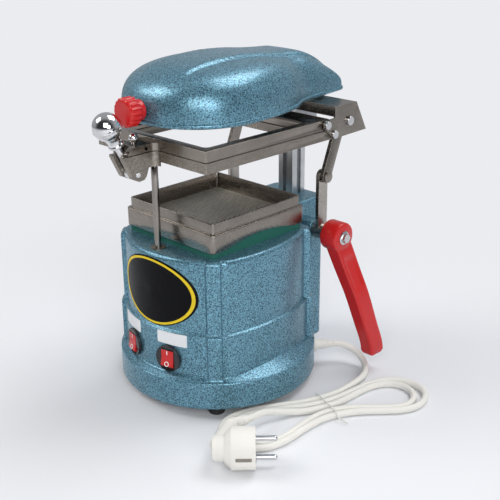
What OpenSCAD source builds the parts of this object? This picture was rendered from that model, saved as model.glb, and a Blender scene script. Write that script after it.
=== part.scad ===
// Dental vacuum former: a cast housing with a suction motor, a sheet frame that a side lever
// lowers onto a perforated tray, and a heater hood that swings about the rear column.
// Front is -Y, the lever is on the +X side, and the feet stand on Z = 0.

/* [Housing] */
// Radius of the round skirt at the foot
skirt_r = 99.5; // [98:0.5:102]
// Height of the skirt
skirt_h = 28; // [24:1:32]
// Height of the housing's flat top above the floor
top_z = 157.5; // [156:0.5:159]
// Height of the step between the lower and upper panels
step_z = 83; // [80:1:88]
// Radius of the front panel's arc
front_arc_r = 97; // [95:0.5:99]
// Radius of the side and rear panels' arcs
side_arc_r = 157; // [140:1:180]
// Half width from side panel to side panel
side_half = 80; // [79:0.5:82]
// Radius at the rounded corners
corner_r = 91.5; // [90:0.5:92.5]
// How far the lower panels stand out from the upper ones
panel_step = 3; // [2:0.5:4]
// Width of the four corner ribs
rib_w = 13.5; // [10:0.5:18]
// Wall of the casting
wall = 3.5; // [3:0.25:4]
// Diameter of a foot
foot_d = 17; // [14:0.5:20]
// Height of a foot
foot_h = 10; // [8:0.5:12]
// Distance of the feet's centres inside the skirt
foot_inset = 15.5; // [13.5:0.5:19]

/* [Tray] */
// Gap between the frames' window and the tray's upper tier
tray_gap = 1; // [0.75:0.25:2]
// How far the tray's lower tier stands out from the upper one
tray_ledge = 3; // [2.5:0.25:4]
// Height of the tray's top edge above the housing
tray_h = 33; // [31:0.5:33.5]
// Height of the lower tier's top above the housing
tier_h = 23.2; // [21:0.2:25]
// Height of the perforated plate's face above the housing
mesh_h = 16.7; // [15:0.1:18]
// Sheet thickness of the tray
tray_wall = 1.5; // [1:0.25:2]
// Rise of the arch in the tray's side walls
arch_h = 6; // [3:0.5:7]
// Holes along each side of the perforated plate
mesh_count = 15; // [9:2:17]

/* [Sheet frame] */
// Half width of the frames
frame_half = 75.2; // [74:0.2:76]
// Distance from the centre to the front face of the frames
frame_front = 79.6; // [79:0.2:81]
// Width of the side rails
rail_w = 9.2; // [8.5:0.1:9.5]
// How far the lips reach in from the side rails
lip_w = 6; // [5:0.25:6.5]
// Height of the lower frame's underside above the floor
frame_z = 244.5; // [243:0.5:246]
// Thickness of the lower frame
lower_t = 9.5; // [9:0.25:10]
// Thickness of the upper frame
upper_t = 10; // [9:0.25:10.5]
// Gap between the frames
frame_gap = 0.8; // [0.6:0.1:1.5]
// Thickness of the lips that grip the sheet
lip_t = 3.5; // [3:0.25:4]
// Diameter of the front guide rod
rod_d = 6.5; // [5:0.5:7]

/* [Linkage] */
// Height of the lever shaft's axis
shaft_z = 147; // [145:0.5:149]
// Distance of the shaft's axis behind the centre
shaft_y = 86.5; // [86:0.25:88]
// Diameter of the lever shaft
shaft_d = 10; // [8:0.5:11]
// Length of the lower arms between centres
arm_len = 58; // [56:0.5:60]
// Distance of the links' top pivots behind the centre
pivot_y = 108; // [106:0.5:110]
// Height of the links' top pivots
pivot_z = 259; // [257:0.5:261]
// Thickness of an arm or a link
bar_t = 4; // [3:0.25:4.25]
// Width of an arm or a link
bar_w = 13; // [11:0.5:14]
// Length of the spacers between the links and the bracket
spacer_t = 6.6; // [6:0.1:7]
// Radius of the lever's head
head_r = 15; // [13:0.5:16]
// Thickness of the lever's head
head_t = 19; // [16:0.5:20]

/* [Hood] */
// Height of the hood's rim above the floor
rim_z = 277.5; // [277:0.25:281]
// Half width of the hood
hood_half = 70; // [66:0.5:74]
// Distance from the centre to the hood's front
hood_front = 86; // [82:0.5:88]
// Distance from the centre to the hood's rear
hood_rear = 157; // [150:1:160]
// Height of the hood's crown above its rim
crown_h = 48.5; // [46:0.5:52]
// Wall of the hood
hood_wall = 3; // [2.5:0.25:3.5]
// Side of the square rear column
column_w = 20; // [18:0.5:22]
// Distance of the column's axis behind the centre
column_y = 111; // [110:0.5:113]
// Diameter of the hood's pivot post
post_d = 16; // [12:0.5:18]
// Diameter of the red knob
knob_d = 25; // [20:0.5:28]

/* [Mains cord] */
// Diameter of the cord
cord_d = 6.6; // [6:0.1:7]
// Turns in the hank
hank_turns = 2; // [1:1:2]
// Diameter of the plug's round body
plug_d = 38; // [34:0.5:40]

/* [Hidden] */
$fn = 64;

// Half widths and places that follow from those sizes
inner_half = frame_half - rail_w;
window_half = inner_half - lip_w;
tier_half = window_half - tray_gap;
tray_half = tier_half + tray_ledge;
foot_reach = skirt_r - foot_inset;
bracket_in = frame_half + 0.4;
link_x = bracket_in - spacer_t - bar_t;
arm_x = link_x - bar_t - 0.5;

// Clearances
run_gap = 0.05;
slip_gap = 0.3;
soft_gap = 0.3;

// Finishes
blue = "#3f7fa8";
nickel = "#b9b4aa";
chrome = "#d9dadc";
dark = "#2b2b2d";
red = "#c81d1d";
white = "#ece9e2";

// Heights
base_z = foot_h;
ledge_z = base_z + skirt_h;
tray_z = top_z + 5.2;
mesh_z = top_z + mesh_h;
tier_z = top_z + tier_h;
tray_top = top_z + tray_h;
split_z = frame_z + lower_t;
upper_z = split_z + frame_gap;
frame_top = upper_z + upper_t;
pedestal_z = 170;
front_cy = front_arc_r - 87.5;
side_cy = -6;
rod_y = 5.6 - frame_front;
cap_t = 3;
screw_r = 2.5;

// Panels of the housing: four bowed sides that meet in round corners
module panels(d = 0) {
    intersection() {
        circle(corner_r + d);
        translate([0, front_cy]) circle(front_arc_r + d);
        translate([side_half - side_arc_r, side_cy]) circle(side_arc_r + d);
        translate([side_arc_r - side_half, side_cy]) circle(side_arc_r + d);
        translate([0, side_half - side_arc_r]) circle(side_arc_r + d);
    }
}

// Ribs on the four diagonals
module ribs(reach) {
    intersection() {
        circle(reach);
        union() {
            for (a = [45, 135]) {
                rotate(a) square([2 * reach, rib_w], center = true);
            }
        }
    }
}

module rounded_box(x0, x1, y0, y1, r) {
    translate([x0 + r, y0 + r]) square([x1 - x0 - 2 * r, y1 - y0 - 2 * r]);
    translate([x0, y0 + r]) square([x1 - x0, y1 - y0 - 2 * r]);
    translate([x0 + r, y0]) square([x1 - x0 - 2 * r, y1 - y0]);
    for (x = [x0 + r, x1 - r], y = [y0 + r, y1 - r]) {
        translate([x, y]) circle(r);
    }
}

// Cylinder along X from x0 to x1 about a point in the YZ plane
module rod_x(x0, x1, y, z, r) {
    translate([x0, y, z]) rotate([0, 90, 0]) cylinder(r = r, h = x1 - x0);
}

// Flat piece between x0 and x1, drawn in its own YZ plane
module plate_x(x0, x1) {
    translate([x0, 0, 0]) rotate([90, 0, 90]) linear_extrude(x1 - x0) children();
}

// Housing
ped_half = 34;
ped_rear = column_y + 15;
ped_r = 8;
lug_x = arm_x - 5.5;
lug_y0 = shaft_y - 7.5;
lug_y1 = shaft_y + 9.5;
lug_z0 = shaft_z - 19;
lug_z1 = shaft_z + 9;
switch_z = 56;
switch_angle = 14.5;
switch_r = 12.8;
lower_front_r = front_arc_r + panel_step;
gland_angle = 52;
gland_z = 21;
gland_bore = 6;
suction_r = 22;
bush_r = 6;
bush_len = 18;

module switch_place(side) {
    translate([0, front_cy, switch_z]) rotate([0, 0, side * switch_angle]) children();
}

module gland_place() {
    rotate([0, 0, gland_angle]) translate([0, 0, gland_z]) rotate([0, 90, 0]) children();
}

module housing() {
    color(blue) difference() {
        union() {
            translate([0, 0, base_z]) cylinder(r = skirt_r, h = skirt_h);
            translate([0, 0, ledge_z]) cylinder(r1 = skirt_r, r2 = side_half, h = 8);
            translate([0, 0, ledge_z]) linear_extrude(step_z - ledge_z) panels(panel_step);
            translate([0, 0, step_z]) linear_extrude(1) panels(panel_step / 2);
            translate([0, 0, ledge_z]) linear_extrude(top_z - ledge_z - 2) panels();
            translate([0, 0, top_z - 2]) linear_extrude(2) panels(-1.5);
            translate([0, 0, ledge_z]) linear_extrude(step_z - ledge_z) ribs(corner_r + 5);
            translate([0, 0, step_z]) linear_extrude(top_z - step_z - 4) ribs(corner_r + 2);
            translate([0, 0, base_z]) linear_extrude(pedestal_z - base_z - 2)
                rounded_box(-ped_half, ped_half, tray_half + 2, ped_rear, ped_r);
            translate([0, 0, base_z]) linear_extrude(pedestal_z - base_z)
                rounded_box(2 - ped_half, ped_half - 2, 70, ped_rear - 2, ped_r - 2);
            translate([-lug_x, lug_y0, lug_z0]) cube([2 * lug_x, lug_y1 - lug_y0, lug_z1 - lug_z0]);
        }
        // Hollow of the casting, open below
        translate([0, 0, base_z - 1]) cylinder(r = skirt_r - wall - 0.5, h = skirt_h - 2);
        translate([0, 0, base_z]) linear_extrude(step_z - base_z - wall)
            panels(panel_step - wall);
        translate([0, 0, base_z]) linear_extrude(top_z - base_z - 5) panels(-wall);
        translate([0, 0, base_z - 1]) linear_extrude(110)
            rounded_box(wall - ped_half, ped_half - wall, 40, ped_rear - wall, ped_r - wall);
        // Suction hole and the bush's seat in the top
        translate([0, 0, top_z - 10]) cylinder(r = suction_r, h = 20);
        translate([0, rod_y, top_z - 10]) cylinder(r = bush_r, h = 20);
        // Shaft bore through the lugs and the pedestal
        rod_x(-lug_x - 1, lug_x + 1, shaft_y, shaft_z, shaft_d / 2 + run_gap);
        // Switch bores and gland bore
        for (s = [-1, 1]) {
            switch_place(s) rotate([90, 0, 0]) cylinder(r = switch_r, h = 120);
        }
        gland_place() cylinder(r = gland_bore, h = 120);
    }
}

plate_t = 2.5;

module base_plate() {
    color("#8f9498") difference() {
        translate([0, 0, base_z + 0.5]) cylinder(r = skirt_r - wall - 0.8, h = plate_t);
        for (a = [45:90:315]) {
            rotate(a) translate([foot_reach, 0, base_z - 1]) cylinder(r = screw_r, h = 6);
        }
        for (a = [0:30:330]) {
            rotate(a) translate([30, 0, base_z - 1]) cylinder(r = 4, h = 6);
        }
    }
}

module rubber_feet() {
    color(dark) for (a = [45:90:315]) {
        rotate(a) translate([foot_reach, 0, 0]) difference() {
            union() {
                cylinder(r1 = foot_d / 2 - 1, r2 = foot_d / 2, h = 2);
                translate([0, 0, 2]) cylinder(r = foot_d / 2, h = foot_h - 1.5);
            }
            translate([0, 0, -1]) cylinder(r = screw_r + 1.6, h = 4);
            translate([0, 0, -1]) cylinder(r = screw_r, h = foot_h + 4);
        }
    }
}

module foot_screws() {
    color(nickel) for (a = [45:90:315]) {
        rotate(a) translate([foot_reach, 0, 0]) {
            translate([0, 0, 1]) cylinder(r = screw_r + 1.5, h = 2);
            translate([0, 0, 1]) cylinder(r = screw_r - 0.1, h = foot_h + 6);
        }
    }
}

// Suction motor
fan_r = 66;
fan_z0 = 100;
fan_z1 = top_z - 14;
motor_r = 42;
motor_z0 = 34;
spindle_r = 4;

module fan_housing() {
    color("#c9ccd0") difference() {
        translate([0, 0, fan_z0]) cylinder(r = fan_r, h = fan_z1 - fan_z0);
        translate([0, 0, fan_z0 + 2]) cylinder(r = fan_r - 2, h = fan_z1 - fan_z0 - 4);
        translate([0, 0, fan_z0 - 1]) cylinder(r = spindle_r + 1, h = 5);
        translate([0, 0, fan_z1 - 5]) cylinder(r = suction_r, h = 10);
        for (a = [0:30:330]) {
            rotate(a) translate([fan_r - 10, 0, fan_z0 - 1]) cylinder(r = 4, h = 5);
        }
    }
}

module motor_can() {
    color("#9aa0a6") difference() {
        union() {
            translate([0, 0, motor_z0]) cylinder(r = motor_r, h = fan_z0 - motor_z0);
            translate([0, 0, motor_z0 - 8]) cylinder(r = 14, h = 10);
        }
        translate([0, 0, motor_z0 - 4]) cylinder(r = spindle_r + run_gap, h = fan_z0);
    }
}

module motor_clamp() {
    color("#6f757a") {
        difference() {
            translate([0, 0, motor_z0]) cylinder(r = motor_r + 3, h = 10);
            translate([0, 0, motor_z0 - 1]) cylinder(r = motor_r, h = 12);
        }
        for (a = [0:120:240]) {
            rotate(a) translate([motor_r + 6, 0, base_z + plate_t + 0.5])
                cylinder(r = 4.5, h = motor_z0 + 9.5 - base_z - plate_t);
        }
    }
}

module suction_seal() {
    color("#1f2122") difference() {
        translate([0, 0, fan_z1]) cylinder(r = suction_r + 12, h = top_z - 5 - fan_z1);
        translate([0, 0, fan_z1 - 1]) cylinder(r = suction_r, h = 20);
    }
}

module motor_shaft() {
    color("#c4c8cc") translate([0, 0, motor_z0 - 3]) cylinder(r = spindle_r, h = fan_z1 - 12 - motor_z0);
}

module impeller() {
    color("#b4b9be") difference() {
        union() {
            for (z = [fan_z0 + 8, fan_z1 - 20]) {
                translate([0, 0, z]) cylinder(r = fan_r - 8, h = 1.5);
            }
            translate([0, 0, fan_z0 + 6]) cylinder(r = 12, h = fan_z1 - fan_z0 - 25);
            for (a = [0:45:315]) {
                rotate(a) translate([14, 8, fan_z0 + 8]) rotate([0, 0, 25])
                    cube([36, 1.5, fan_z1 - fan_z0 - 27]);
            }
        }
        translate([0, 0, fan_z0]) cylinder(r = spindle_r, h = 60);
        translate([0, 0, fan_z1 - 21]) cylinder(r = 11, h = 4);
    }
}

// Tray and its seal
gasket_half = tray_half - tray_wall - soft_gap;
seat_z = mesh_z - 2.2;

module tray_gasket() {
    color("#0f6e5c") translate([0, 0, top_z]) linear_extrude(seat_z - top_z) difference() {
        rounded_box(-gasket_half, gasket_half, -gasket_half, gasket_half, 5);
        rounded_box(18 - tray_half, tray_half - 18, 18 - tray_half, tray_half - 18, 5);
    }
}

module tray_ring(h0, h1, half, r) {
    translate([0, 0, h0]) linear_extrude(h1 - h0) difference() {
        rounded_box(-half, half, -half, half, r);
        rounded_box(tray_wall - half, half - tray_wall, tray_wall - half, half - tray_wall, r - tray_wall);
    }
}

module tray() {
    arch_half = tray_half - 16;
    arch_r = (arch_half * arch_half + arch_h * arch_h) / (2 * arch_h);
    color(nickel) difference() {
        union() {
            tray_ring(tray_z, tier_z, tray_half, 5);
            tray_ring(tier_z - tray_wall, tray_top, tier_half, 4);
            translate([0, 0, tier_z - tray_wall]) linear_extrude(tray_wall) difference() {
                rounded_box(-tray_half, tray_half, -tray_half, tray_half, 5);
                rounded_box(1 - tier_half, tier_half - 1, 1 - tier_half, tier_half - 1, 4);
            }
            tray_ring(seat_z, tier_z, tier_half, 4);
            translate([0, 0, seat_z]) linear_extrude(1) difference() {
                rounded_box(1 - tier_half, tier_half - 1, 1 - tier_half, tier_half - 1, 4);
                rounded_box(11 - tier_half, tier_half - 11, 11 - tier_half, tier_half - 11, 3);
            }
        }
        // Arch under the two side walls
        rod_x(-tray_half - 1, tray_half + 1, 0, tray_z + arch_h - arch_r, arch_r);
    }
}

mesh_half = tier_half - tray_wall - slip_gap;

module mesh_plate() {
    field = mesh_half - 5.2;
    pitch = 2 * field / (mesh_count + 1);
    color("#7d7468") difference() {
        translate([0, 0, seat_z + 1]) linear_extrude(mesh_z - seat_z - 1)
            rounded_box(-mesh_half, mesh_half, -mesh_half, mesh_half, 2);
        for (i = [1:mesh_count], j = [1:mesh_count]) {
            translate([i * pitch - field, j * pitch - field, seat_z])
                cylinder(r = pitch * 0.32, h = 4, $fn = 16);
        }
    }
}

// Rear column and hood pivot
column_top = rim_z + 2.5;
post_flange = 3;
boss_z0 = column_top + post_flange + slip_gap;
boss_z1 = boss_z0 + 17;

module column() {
    color("#b8bcc0") translate([0, column_y, pedestal_z]) linear_extrude(column_top - pedestal_z) difference() {
        rounded_box(-column_w / 2, column_w / 2, -column_w / 2, column_w / 2, 1);
        for (a = [0:90:270]) {
            rotate(a) translate([column_w / 2 - 1.5, 0]) square([3.1, 6], center = true);
            rotate(a) translate([column_w / 2 - 4, 0]) square([2.6, 7], center = true);
        }
    }
}

module pivot_post() {
    color(chrome) {
        translate([0, column_y, column_top]) cylinder(r = 12, h = post_flange);
        translate([0, column_y, column_top]) cylinder(r = post_d / 2, h = boss_z1 + slip_gap - column_top);
    }
}

module post_cap() {
    color(chrome) translate([0, column_y, boss_z1 + slip_gap]) cylinder(r = post_d / 2 + 3, h = cap_t);
}

module guide_bush() {
    color("#b08d4a") translate([0, rod_y, 0]) difference() {
        union() {
            translate([0, 0, top_z - bush_len]) cylinder(r = bush_r, h = bush_len);
            translate([0, 0, top_z]) cylinder(r = bush_r + 1, h = 1);
        }
        translate([0, 0, top_z - bush_len - 1]) cylinder(r = rod_d / 2 + run_gap, h = bush_len + 4);
    }
}

// Rocker switches
bezel_r = 13.5;
bezel_t = 3;
rocker_r = 9.8;
rocker_half = 6.8;
rocker_x = lower_front_r - 1.5;
rocker_tilt = 7;

module switch_body() {
    color(dark) rotate([90, 0, 0]) difference() {
        union() {
            translate([0, 0, lower_front_r]) cylinder(r = bezel_r, h = bezel_t);
            translate([0, 0, lower_front_r - 22]) cylinder(r = switch_r - 0.2, h = 22);
        }
        translate([-rocker_half - slip_gap, -rocker_r - slip_gap, rocker_x - rocker_r - slip_gap])
            cube([2 * (rocker_half + slip_gap), 2 * (rocker_r + slip_gap), 2 * rocker_r]);
    }
}

module heat_switch() { switch_place(-1) switch_body(); }
module vacuum_switch() { switch_place(1) switch_body(); }

module rocker() {
    face = 5;
    rise = face + rocker_r * tan(rocker_tilt);
    color(red) translate([0, -rocker_x, 0]) rotate([-rocker_tilt, 0, 0]) rotate([0, 0, 180])
        plate_x(-rocker_half, rocker_half) intersection() {
            circle(rocker_r);
            polygon([[-5, -rocker_r], [rise, -rocker_r], [face, 0], [rise, rocker_r], [-5, rocker_r]]);
        }
}

module heat_rocker() { switch_place(-1) rocker(); }
module vacuum_rocker() { switch_place(1) rocker(); }

// Plates on the front panels
module front_shell(r, t) {
    translate([0, front_cy, 0]) difference() {
        cylinder(r = r + t, h = top_z, $fn = 128);
        translate([0, 0, -1]) cylinder(r = r, h = top_z + 2, $fn = 128);
    }
}

module switch_labels() {
    color(white) intersection() {
        front_shell(lower_front_r, 0.6);
        for (s = [-1, 1]) {
            translate([0, front_cy, step_z - 7]) rotate([0, 0, s * 16.5])
                translate([-15, -lower_front_r - 5, -6]) cube([30, 12, 12]);
        }
    }
}

badge_w = 97;
badge_h = 68;
badge_z = 119.5;
badge_x = 4;

module badge_plate() {
    color("#1c1c1e") intersection() {
        front_shell(front_arc_r, 1);
        translate([badge_x, 0, badge_z]) rotate([90, 0, 0]) linear_extrude(front_arc_r + 3)
            polygon([for (a = [0:7.5:352.5]) [badge_w / 2 * cos(a), badge_h / 2 * sin(a)]]);
    }
}

// Lower frame and what rides on it
lower_rear = 92;
lower_back_rail = 84;
jaw_half = 10.5;
slot_half = 4.5;
hook_y = -frame_front - 21.4;
hook_z = frame_z - 8.5;
jaw_y = hook_y - 10.5;
jaw_t = 7;
window_r = 2;
frame_drop = 69;

// Blind screw holes in both ends of a frame's rear rail
module end_bores(y, z, r) {
    for (s = [-1, 1]) {
        rod_x(s * frame_half - 11.2, s * frame_half + 11.2, y, z, r);
    }
}

module window(rear, r) {
    rounded_box(-window_half, window_half, -window_half, rear, r);
}

module lower_frame() {
    color(nickel) difference() {
        translate([0, 0, frame_z]) linear_extrude(lower_t) difference() {
            rounded_box(-frame_half, frame_half, -frame_front, lower_rear, 1.5);
            translate([-inner_half, lower_back_rail]) square([2 * inner_half, 20]);
        }
        translate([0, 0, frame_z - 1]) linear_extrude(lower_t - lip_t + 1)
            rounded_box(-inner_half, inner_half, rail_w - frame_front, tray_half + 1.5, 5);
        translate([0, 0, frame_z - 1]) linear_extrude(lower_t + 2) window(window_half, window_r);
        // Seat of the rod in the front rail
        translate([0, rod_y, frame_z - 1]) cylinder(r = rod_d / 2, h = 7);
        end_bores(shaft_y - 0.6, frame_z + 4.9, screw_r);
    }
}

module guide_rod() {
    color(chrome) translate([0, rod_y, top_z - 22]) cylinder(r = rod_d / 2, h = frame_z + 6 - top_z + 22);
}

// Solid of a jaw in plan: a block with a round fillet to the frame at each side
module jaw_plan(half) {
    difference() {
        translate([-half - 6, jaw_y - 6]) square([2 * half + 12, -jaw_y - frame_front + 6]);
        for (s = [-1, 1]) {
            translate([s * (half + 6), -frame_front - 6]) circle(6);
            translate([s * (half + 3) - 3, jaw_y - 7]) square([6, -jaw_y - frame_front + 1]);
        }
    }
}

module lower_jaw() {
    color(nickel) difference() {
        intersection() {
            translate([0, 0, hook_z - 16]) linear_extrude(60) jaw_plan(jaw_half);
            plate_x(-30, 30) polygon([
                [-frame_front, frame_z - 4], [hook_y + 12.5, frame_z - 4],
                [hook_y + 9.5, hook_z - 3], [hook_y + 7, hook_z - 5.7],
                [hook_y + 1, hook_z - 6.5], [hook_y - 5, hook_z - 3.5],
                [hook_y - 14.5, split_z - 2], [hook_y - 14.5, split_z], [-frame_front, split_z]
            ]);
        }
        translate([-slot_half, hook_y - 29, hook_z - 16]) cube([2 * slot_half, 38, 60]);
        rod_x(-30, 30, hook_y, hook_z, 2.5);
    }
}

module jaw_pin() {
    color(chrome) rod_x(-jaw_half - 0.6, jaw_half + 0.6, hook_y, hook_z, 2.5);
}

module upper_jaw() {
    color(nickel) difference() {
        intersection() {
            translate([0, 0, hook_z + 4]) linear_extrude(40) jaw_plan(jaw_half);
            plate_x(-30, 30) intersection() {
                translate([hook_y - 11, upper_z]) square([-hook_y + 11 - frame_front, jaw_t]);
                union() {
                    translate([hook_y, upper_z - 4]) circle(11);
                    translate([hook_y, upper_z]) square([-hook_y - frame_front, jaw_t]);
                }
            }
        }
        translate([-slot_half, hook_y - 29, hook_z + 4]) cube([2 * slot_half, 27, 40]);
        rod_x(-30, 30, hook_y + 10.5, upper_z + 3, 1.6);
    }
}

module lift_stud() {
    color(chrome) translate([0, hook_y + 5, upper_z + jaw_t]) {
        cylinder(r = 2.4, h = 4);
        translate([0, 0, 5]) intersection() {
            sphere(r = 4.6);
            translate([-10, -10, -3]) cube(20);
        }
    }
}

hinge_y = 75.3;
hinge_z = upper_z + 5;
upper_rear = hinge_y + 5.7;
web_y = window_half - 5;

module upper_frame() {
    color(nickel) difference() {
        translate([0, 0, upper_z]) linear_extrude(upper_t)
            rounded_box(-frame_half, frame_half, -frame_front, upper_rear, 1.5);
        translate([0, 0, upper_z - 1]) linear_extrude(upper_t + 2) window(web_y, window_r);
        // Room for the tray's top edge under the rear web, with the frames down
        translate([0, 0, upper_z - 1]) linear_extrude(tray_top - upper_z + frame_drop + 2.5)
            window(window_half, window_r);
        translate([0, 0, upper_z + lip_t]) linear_extrude(upper_t)
            rounded_box(-inner_half, inner_half, rail_w - frame_front, web_y, 5);
        end_bores(hinge_y, hinge_z, screw_r + run_gap);
    }
}

// Rear bracket: a folded box that joins the frame, the slide block and the links
bracket_t = 2;
bracket_top = frame_top + 11.2;

module bracket_side() {
    plate_x(0, bracket_t) difference() {
        union() {
            polygon([
                [shaft_y, bracket_top], [column_y + 7.7, bracket_top],
                [column_y + 23.7, frame_z + 1.5], [shaft_y - 1.2, frame_z + 0.5],
                [hinge_y - 3.1, hinge_z - 3.2], [hinge_y + 3.2, hinge_z + 3.3],
                [hinge_y + 4.7, hinge_z + 5], [shaft_y, hinge_z + 5]
            ]);
            translate([hinge_y, hinge_z]) circle(4.6);
        }
        translate([hinge_y, hinge_z]) circle(screw_r);
        translate([shaft_y - 0.6, frame_z + 4.9]) circle(screw_r);
        translate([pivot_y, pivot_z]) circle(3);
    }
}

module rear_bracket() {
    color(nickel) difference() {
        union() {
            translate([bracket_in, 0, 0]) bracket_side();
            translate([-bracket_in - bracket_t, 0, 0]) bracket_side();
            translate([-bracket_in - 1, shaft_y, bracket_top - bracket_t])
                cube([2 * bracket_in + 2, 32, bracket_t]);
            translate([-bracket_in - 1, shaft_y, frame_top + 1.2])
                cube([2 * bracket_in + 2, bracket_t, bracket_top - frame_top - 1.2]);
        }
        translate([-column_w / 2 - 0.6, column_y - column_w / 2 - 0.6, bracket_top - 5])
            cube([column_w + 1.2, column_w + 10, 10]);
    }
}

block_half = 20;
block_y0 = lower_back_rail;

module slide_block() {
    gap = 0.1;
    color("#7b8086") difference() {
        union() {
            translate([-block_half, block_y0, frame_z]) cube([2 * block_half, column_y + 16 - block_y0, 20]);
            translate([-block_half, shaft_y + bracket_t, frame_z])
                cube([2 * block_half, 8, bracket_top - bracket_t - frame_z]);
        }
        translate([-column_w / 2 - gap, column_y - column_w / 2 - gap, frame_z - 1])
            cube([column_w + 2 * gap, column_w + 2 * gap, 50]);
    }
}

module side_screws(y, z, hold) {
    for (s = [-1, 1]) {
        x1 = bracket_in + bracket_t;
        lo = s > 0 ? x1 : -x1 - 2.2;
        rod_x(lo, lo + 2.2, y, z, 4);
        in = s > 0 ? x1 - hold : -x1;
        rod_x(in, in + hold, y, z, screw_r);
    }
}

module bracket_screws() { color(chrome) side_screws(shaft_y - 0.6, frame_z + 4.9, 9); }
module hinge_screws() { color(chrome) side_screws(hinge_y, hinge_z, 9); }

module link_bolts() {
    color(chrome) for (s = [-1, 1]) {
        x1 = bracket_in + bracket_t;
        a = s > 0 ? link_x - 2.6 : -x1 - 2.5;
        b = s > 0 ? x1 + 2.5 : 2.6 - link_x;
        rod_x(a, b, pivot_y, pivot_z, 3);
        n = s > 0 ? link_x - 2.6 : -link_x + 0.1;
        rod_x(n, n + 2.5, pivot_y, pivot_z, 5);
        h = s > 0 ? x1 : -x1 - 2.5;
        rod_x(h, h + 2.5, pivot_y, pivot_z, 4.5);
        c = s > 0 ? link_x + bar_t + 0.1 : -bracket_in;
        rod_x(c, c + bracket_in - link_x - bar_t - 0.1, pivot_y, pivot_z, 5);
    }
}

// Bar with round ends between two points of its YZ plane
module bar(y0, z0, y1, z1, w) {
    len = norm([y1 - y0, z1 - z0]);
    translate([y0, z0]) rotate(atan2(z1 - z0, y1 - y0)) {
        translate([0, -w / 2]) square([len, w]);
        circle(w / 2);
        translate([len, 0]) circle(w / 2);
    }
}

module link() {
    plate_x(0, bar_t) difference() {
        bar(shaft_y, shaft_z + arm_len, pivot_y, pivot_z, bar_w);
        translate([pivot_y, pivot_z]) circle(3 + run_gap);
    }
    rod_x(bar_t, bar_t + 2.5, shaft_y, shaft_z + arm_len, 5.5);
}

module link_right() { color(nickel) translate([link_x, 0, 0]) link(); }
module link_left() { color(nickel) mirror([1, 0, 0]) translate([link_x, 0, 0]) link(); }

// Lever shaft, arms and lever
hub_x0 = lug_x + 0.5;
lever_x = arm_x + bar_t + 9;

module arm() {
    difference() {
        union() {
            plate_x(arm_x, arm_x + bar_t) bar(shaft_y, shaft_z, shaft_y, shaft_z + arm_len, bar_w);
            rod_x(hub_x0, lever_x - 0.5, shaft_y, shaft_z, 8);
        }
        rod_x(hub_x0 - 1, lever_x + 1, shaft_y, shaft_z, shaft_d / 2);
    }
}

module arm_right() { color(nickel) arm(); }
module arm_left() { color(nickel) mirror([1, 0, 0]) arm(); }

module lever_shaft() {
    color(chrome) rod_x(0.5 - lever_x, lever_x + 12, shaft_y, shaft_z, shaft_d / 2);
}

lever_lean = 33;
lever_back = 24.5;
lever_drop = 127;
grip_w = 20;
grip_t = 16;

module lever_section(k, w, t) {
    translate([
        lever_x + head_t / 2 + lever_lean * k, shaft_y + lever_back * k, shaft_z - lever_drop * k
    ]) linear_extrude(0.5) rounded_box(-t / 2, t / 2, -w / 2, w / 2, 3, $fn = 24);
}

module lever() {
    color(red) difference() {
        union() {
            rod_x(lever_x, lever_x + head_t, shaft_y, shaft_z, head_r);
            hull() {
                lever_section(0.08, 24, head_t - 2);
                lever_section(0.5, grip_w + 3, grip_t + 1);
            }
            hull() {
                lever_section(0.5, grip_w + 3, grip_t + 1);
                lever_section(0.8, grip_w + 1, grip_t);
            }
            hull() {
                lever_section(0.8, grip_w + 1, grip_t);
                translate([2, 0, 0]) lever_section(1, grip_w, grip_t - 1);
            }
        }
        rod_x(lever_x - 1, lever_x + 12, shaft_y, shaft_z, shaft_d / 2);
        rod_x(lever_x + 11, lever_x + head_t + 1, shaft_y, shaft_z, 3.2);
    }
}

module lever_bolt() {
    color(chrome) {
        rod_x(lever_x + 12, lever_x + head_t + 3, shaft_y, shaft_z, 3);
        rod_x(lever_x + head_t, lever_x + head_t + 1.2, shaft_y, shaft_z, 7);
        rod_x(lever_x + head_t + 1.2, lever_x + head_t + 4.5, shaft_y, shaft_z, 4.5);
    }
}

// Swing bolt and ball nut, leaning forward out of the jaws' slot
bolt_lean = 26.7;
ball_r = 12.7;
ball_reach = 51;
nut_len = 21;

module bolt_place() {
    translate([0, hook_y, hook_z]) rotate([bolt_lean, 0, 0]) children();
}

module swing_bolt() {
    color(chrome) bolt_place() difference() {
        union() {
            rod_x(-slot_half + 0.4, slot_half - 0.4, 0, 0, 5);
            cylinder(r = 3, h = ball_reach + 4);
        }
        rod_x(-10, 10, 0, 0, 2.5 + run_gap);
    }
}

module ball_nut() {
    color(chrome) bolt_place() difference() {
        union() {
            translate([0, 0, ball_reach]) sphere(r = ball_r);
            translate([0, 0, ball_reach - 1]) cylinder(r = ball_r + 0.5, h = 2);
            translate([0, 0, ball_reach - 18]) cylinder(r1 = 6, r2 = 9, h = 12);
            translate([0, 0, ball_reach - nut_len]) cylinder(r = 7, h = nut_len - 18);
        }
        translate([0, 0, ball_reach - nut_len - 1]) cylinder(r = 3 + run_gap, h = nut_len + 6);
    }
}

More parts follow.
